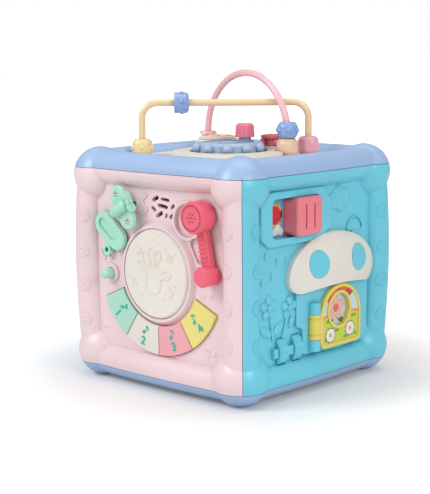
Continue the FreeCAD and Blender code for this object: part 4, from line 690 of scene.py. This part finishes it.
# ---------------------------------------------------------------- window card
def card_print():
    """Sky with a rayed sun over a cloud."""
    sun = (card_low.y + mm(14.6), card_low.z + mm(17.4))
    rays = turned(star(mm(8.0), mm(6.0), 14), *sun, 5)
    slab("card_rays", "right", CARD_FACE, mm(0.08), [rays], INK["sun"], "cube")
    slab("card_sun", "right", CARD_FACE, mm(0.14), [disc(*sun, mm(5.6))], INK["red"], "cube")
    for number, (u, v, radius) in enumerate([(14.6, 7.2, 2.4), (17.4, 8.6, 3.0), (20.4, 7.0, 2.2)]):
        slab("card_cloud_%d" % number, "right", CARD_FACE + mm(0.015 * number), mm(0.10),
             [disc(card_low.y + mm(u), card_low.z + mm(v), mm(radius))], INK["white"], "cube")


card_print()


# ---------------------------------------------------------------- door picture and print
def door_print():
    """A striped awning over a pale sky and a meadow with daisies, all round the porthole."""
    w = DOOR_FIELD
    inset, hole, door_width = mm(2.7), mm(12.3), mm(41.75)
    radius = door_width / 2
    middle = door_high.y - radius
    spring = door_high.z - radius

    def inside(u, v):
        """Whether a point lies in the printed field."""
        if abs(u - middle) > radius - inset or v < door_low.z + inset:
            return False
        return v < spring or math.hypot(u - middle, v - spring) < radius - inset

    def reach(degrees):
        """How far the printed field runs from the middle of the porthole."""
        low, high = 0.0, mm(40)
        for _ in range(24):
            half = (low + high) / 2
            if inside(*polar(PORT_Y, PORT_Z, half, degrees)):
                low = half
            else:
                high = half
        return low

    def line(start, end, steps, share):
        """Points round the porthole, at a share of the way from its collar to the edge of the field."""
        out = []
        for i in range(steps + 1):
            degrees = start + (end - start) * i / steps
            far = hole + (reach(degrees) - hole) * share
            out.append(polar(PORT_Y, PORT_Z, far, degrees))
        return out

    def fan(name, start, end, near, far, lift, ink, steps):
        """A printed strip round the porthole between two angles and two shares of the way out."""
        band(name, "right", w, lift, [(line(start, end, steps, far), line(start, end, steps, near))], INK[ink], "door")

    fan("door_sky", -12, 196, 0, 1, mm(0.08), "sky", 90)
    fan("door_meadow", 196, 348, 0, 1, mm(0.08), "meadow", 90)
    fan("door_sill_left", 190, 197, 0, 1, mm(0.14), "amber", 6)
    fan("door_sill_right", -13, -7, 0, 1, mm(0.14), "amber", 6)
    for number in range(5):
        start = 33 + 24 * number
        fan("door_awning_%d" % number, start, start + 24, 0.08, 1, mm(0.16), ("red", "orange")[number % 2], 12)
    tufts = [(-13.2, -7.4, 3.6), (-4.0, -14.2, 4.2), (4.6, -19.4, 5.0), (12.6, -7.0, 5.2), (-14.4, -19.2, 3.4),
             (15.6, -19.0, 3.4)]
    slab("door_tufts", "right", w + mm(0.08), mm(0.08),
         [[(PORT_Y + mm(u), PORT_Z + mm(v)), (PORT_Y + mm(u + width), PORT_Z + mm(v)),
           (PORT_Y + mm(u + width - 0.5), PORT_Z + mm(v + 1.8)), (PORT_Y + mm(u + 0.5), PORT_Z + mm(v + 1.8))]
          for u, v, width in tufts], INK["grass"], "door")
    for number, (u, v) in enumerate([(-8.8, -15.6), (11.4, -14.0)]):
        spot = (PORT_Y + mm(u), PORT_Z + mm(v))
        slab("door_daisy_rim_%d" % number, "right", w + mm(0.08), mm(0.1), [disc(*spot, mm(4.9), 36)], INK["brown"],
             "door")
        for row, shape in enumerate(blossom(*spot, mm(4.5), 8)):
            slab("door_daisy_%d_%d" % (number, row), "right", w + mm(0.16 + 0.01 * row), mm(0.1), [shape],
                 INK["white"], "door")
        slab("door_daisy_eye_%d" % number, "right", w + mm(0.3), mm(0.14), [disc(*spot, mm(1.4), 20)], INK["sun"],
             "door")


def porthole_picture():
    """A peach-coloured blossom with two leaves on a pale ground."""
    w = PICTURE_FACE
    flower = (PORT_Y - mm(0.4), PORT_Z + mm(0.6))
    slab("picture_ground", "right", w, mm(0.06), [disc(PORT_Y, PORT_Z, mm(12.4), 48)], INK["sky"], "cube")
    for number, angle in enumerate((205, 335)):
        slab("picture_leaf_%d" % number, "right", w + mm(0.06 + 0.02 * number), mm(0.12),
             [turned(petal(mm(9.0), mm(4.6)), PORT_Y - mm(0.4), PORT_Z - mm(5.0), angle)], INK["leaf"], "cube")
    for number, shape in enumerate(blossom(*flower, mm(8.2), 5)):
        slab("picture_petal_%d" % number, "right", w + mm(0.16 + 0.03 * number), mm(0.16), [shape], INK["peach"],
             "cube")
    slab("picture_heart", "right", w + mm(0.4), mm(0.16), [disc(*flower, mm(2.6), 28)], INK["rose"], "cube")
    slab("picture_seeds", "right", w + mm(0.54), mm(0.06),
         [disc(*polar(*flower, mm(1.4), 72 * i), mm(0.36), 12) for i in range(5)], INK["sun"], "cube")


door_print()
porthole_picture()


# ---------------------------------------------------------------- dial
slab("dial_face", "top", DIAL_FACE, mm(0.1), [disc(*DIAL, mm(6.2), 48)], INK["white"], "dial")
band("dial_ring", "top", DIAL_FACE, mm(0.12),
     [(round_line(*DIAL, mm(10.4), steps=56), round_line(*DIAL, mm(7.0), steps=56))], INK["amber"], "dial")


# ---------------------------------------------------------------- floor, lights, camera
def floor():
    """Pale paper that keeps the shadow near the cube and fades to white away from it."""
    data = bpy.data.meshes.new("floor")
    reach = 6.0
    corners = [(-reach, -reach, 0), (reach, -reach, 0), (reach, reach, 0), (-reach, reach, 0)]
    data.from_pydata(corners, [], [(0, 1, 2, 3)])
    piece = bpy.data.objects.new("floor", data)
    bpy.context.scene.collection.objects.link(piece)
    material = bpy.data.materials.new("floor_paper")
    material.use_nodes = True
    tree = material.node_tree
    shader = tree.nodes["Principled BSDF"]
    shader.inputs["Base Color"].default_value = (0.80, 0.785, 0.78, 1.0)
    shader.inputs["Roughness"].default_value = 0.6
    shader.inputs["Specular IOR Level"].default_value = 0.25
    path = tree.nodes.new("ShaderNodeLightPath")
    place = tree.nodes.new("ShaderNodeTexCoord").outputs["Object"]
    span = tree.nodes.new("ShaderNodeVectorMath")
    span.operation = "LENGTH"
    link(tree, place, span.inputs[0])
    fade = tree.nodes.new("ShaderNodeMapRange")
    fade.interpolation_type = "SMOOTHSTEP"
    fade.inputs["From Min"].default_value = 0.09
    fade.inputs["From Max"].default_value = 0.30
    fade.inputs["To Min"].default_value = 0.12
    fade.inputs["To Max"].default_value = 0.95
    link(tree, span.outputs["Value"], fade.inputs["Value"])
    glow = add(tree, "ShaderNodeMath")
    glow.operation = "MULTIPLY"
    link(tree, fade.outputs["Result"], glow.inputs[1])
    link(tree, path.outputs["Is Camera Ray"], glow.inputs[0])
    shader.inputs["Emission Color"].default_value = (1.0, 1.0, 1.0, 1.0)
    link(tree, glow.outputs["Value"], shader.inputs["Emission Strength"])
    piece.data.materials.append(material)


def world():
    """White to the camera, and a plain soft light to everything else."""
    sky = bpy.data.worlds.new("studio")
    bpy.context.scene.world = sky
    sky.use_nodes = True
    tree = sky.node_tree
    tree.nodes.clear()
    path = tree.nodes.new("ShaderNodeLightPath")
    ambient = tree.nodes.new("ShaderNodeBackground")
    ambient.inputs["Color"].default_value = (0.96, 0.98, 1.0, 1.0)
    ambient.inputs["Strength"].default_value = 0.46
    white = tree.nodes.new("ShaderNodeBackground")
    white.inputs["Color"].default_value = (1.0, 1.0, 1.0, 1.0)
    white.inputs["Strength"].default_value = 1.0
    mix = tree.nodes.new("ShaderNodeMixShader")
    out = tree.nodes.new("ShaderNodeOutputWorld")
    link(tree, path.outputs["Is Camera Ray"], mix.inputs["Fac"])
    link(tree, ambient.outputs["Background"], mix.inputs[1])
    link(tree, white.outputs["Background"], mix.inputs[2])
    link(tree, mix.outputs["Shader"], out.inputs["Surface"])


def softbox(name, place, aim, size, power):
    """A square area lamp turned towards a point."""
    data = bpy.data.lights.new(name, "AREA")
    data.shape = "SQUARE"
    data.size = size
    data.energy = power
    lamp = bpy.data.objects.new(name, data)
    lamp.location = place
    lamp.rotation_mode = "QUATERNION"
    lamp.rotation_quaternion = (Vector(aim) - Vector(place)).to_track_quat("-Z", "Y")
    bpy.context.scene.collection.objects.link(lamp)


AZIMUTH, ELEVATION, ROLL = math.radians(42.839), math.radians(11.723), math.radians(-0.464)
DISTANCE, AIM_RIGHT, AIM_HEIGHT = 0.84264, -0.012057, 0.042846
FOCAL_PIXELS, CENTRE_ROW, WIDTH, HEIGHT = 1274.59, 307.58, 430, 494


def camera():
    """The photograph's viewpoint, as fitted to the cube's balls and seams."""
    data = bpy.data.cameras.new("camera")
    piece = bpy.data.objects.new("camera", data)
    bpy.context.scene.collection.objects.link(piece)
    back = Vector((math.sin(AZIMUTH) * math.cos(ELEVATION), -math.cos(AZIMUTH) * math.cos(ELEVATION),
                   math.sin(ELEVATION)))
    right = Vector((math.cos(AZIMUTH), math.sin(AZIMUTH), 0))
    piece.location = back * DISTANCE + right * AIM_RIGHT + Vector((0, 0, AIM_HEIGHT))
    piece.rotation_mode = "QUATERNION"
    piece.rotation_quaternion = (-back).to_track_quat("-Z", "Y") @ Quaternion((0, 0, 1), ROLL)
    data.sensor_width = 36.0
    data.lens = FOCAL_PIXELS * data.sensor_width / max(WIDTH, HEIGHT)
    data.shift_y = (CENTRE_ROW - HEIGHT / 2) / max(WIDTH, HEIGHT)
    data.clip_start, data.clip_end = 0.05, 20.0
    bpy.context.scene.camera = piece


floor()
world()
middle_of_cube = (0.0, 0.0, 0.08)
softbox("key_light", (-0.55, -1.25, 1.15), middle_of_cube, 0.7, 13.0)
softbox("fill_light", (1.45, -0.35, 0.75), middle_of_cube, 0.8, 8.0)
softbox("top_light", (0.1, 0.2, 1.5), middle_of_cube, 1.1, 6.0)
camera()
bpy.context.scene.view_settings.view_transform = "Standard"
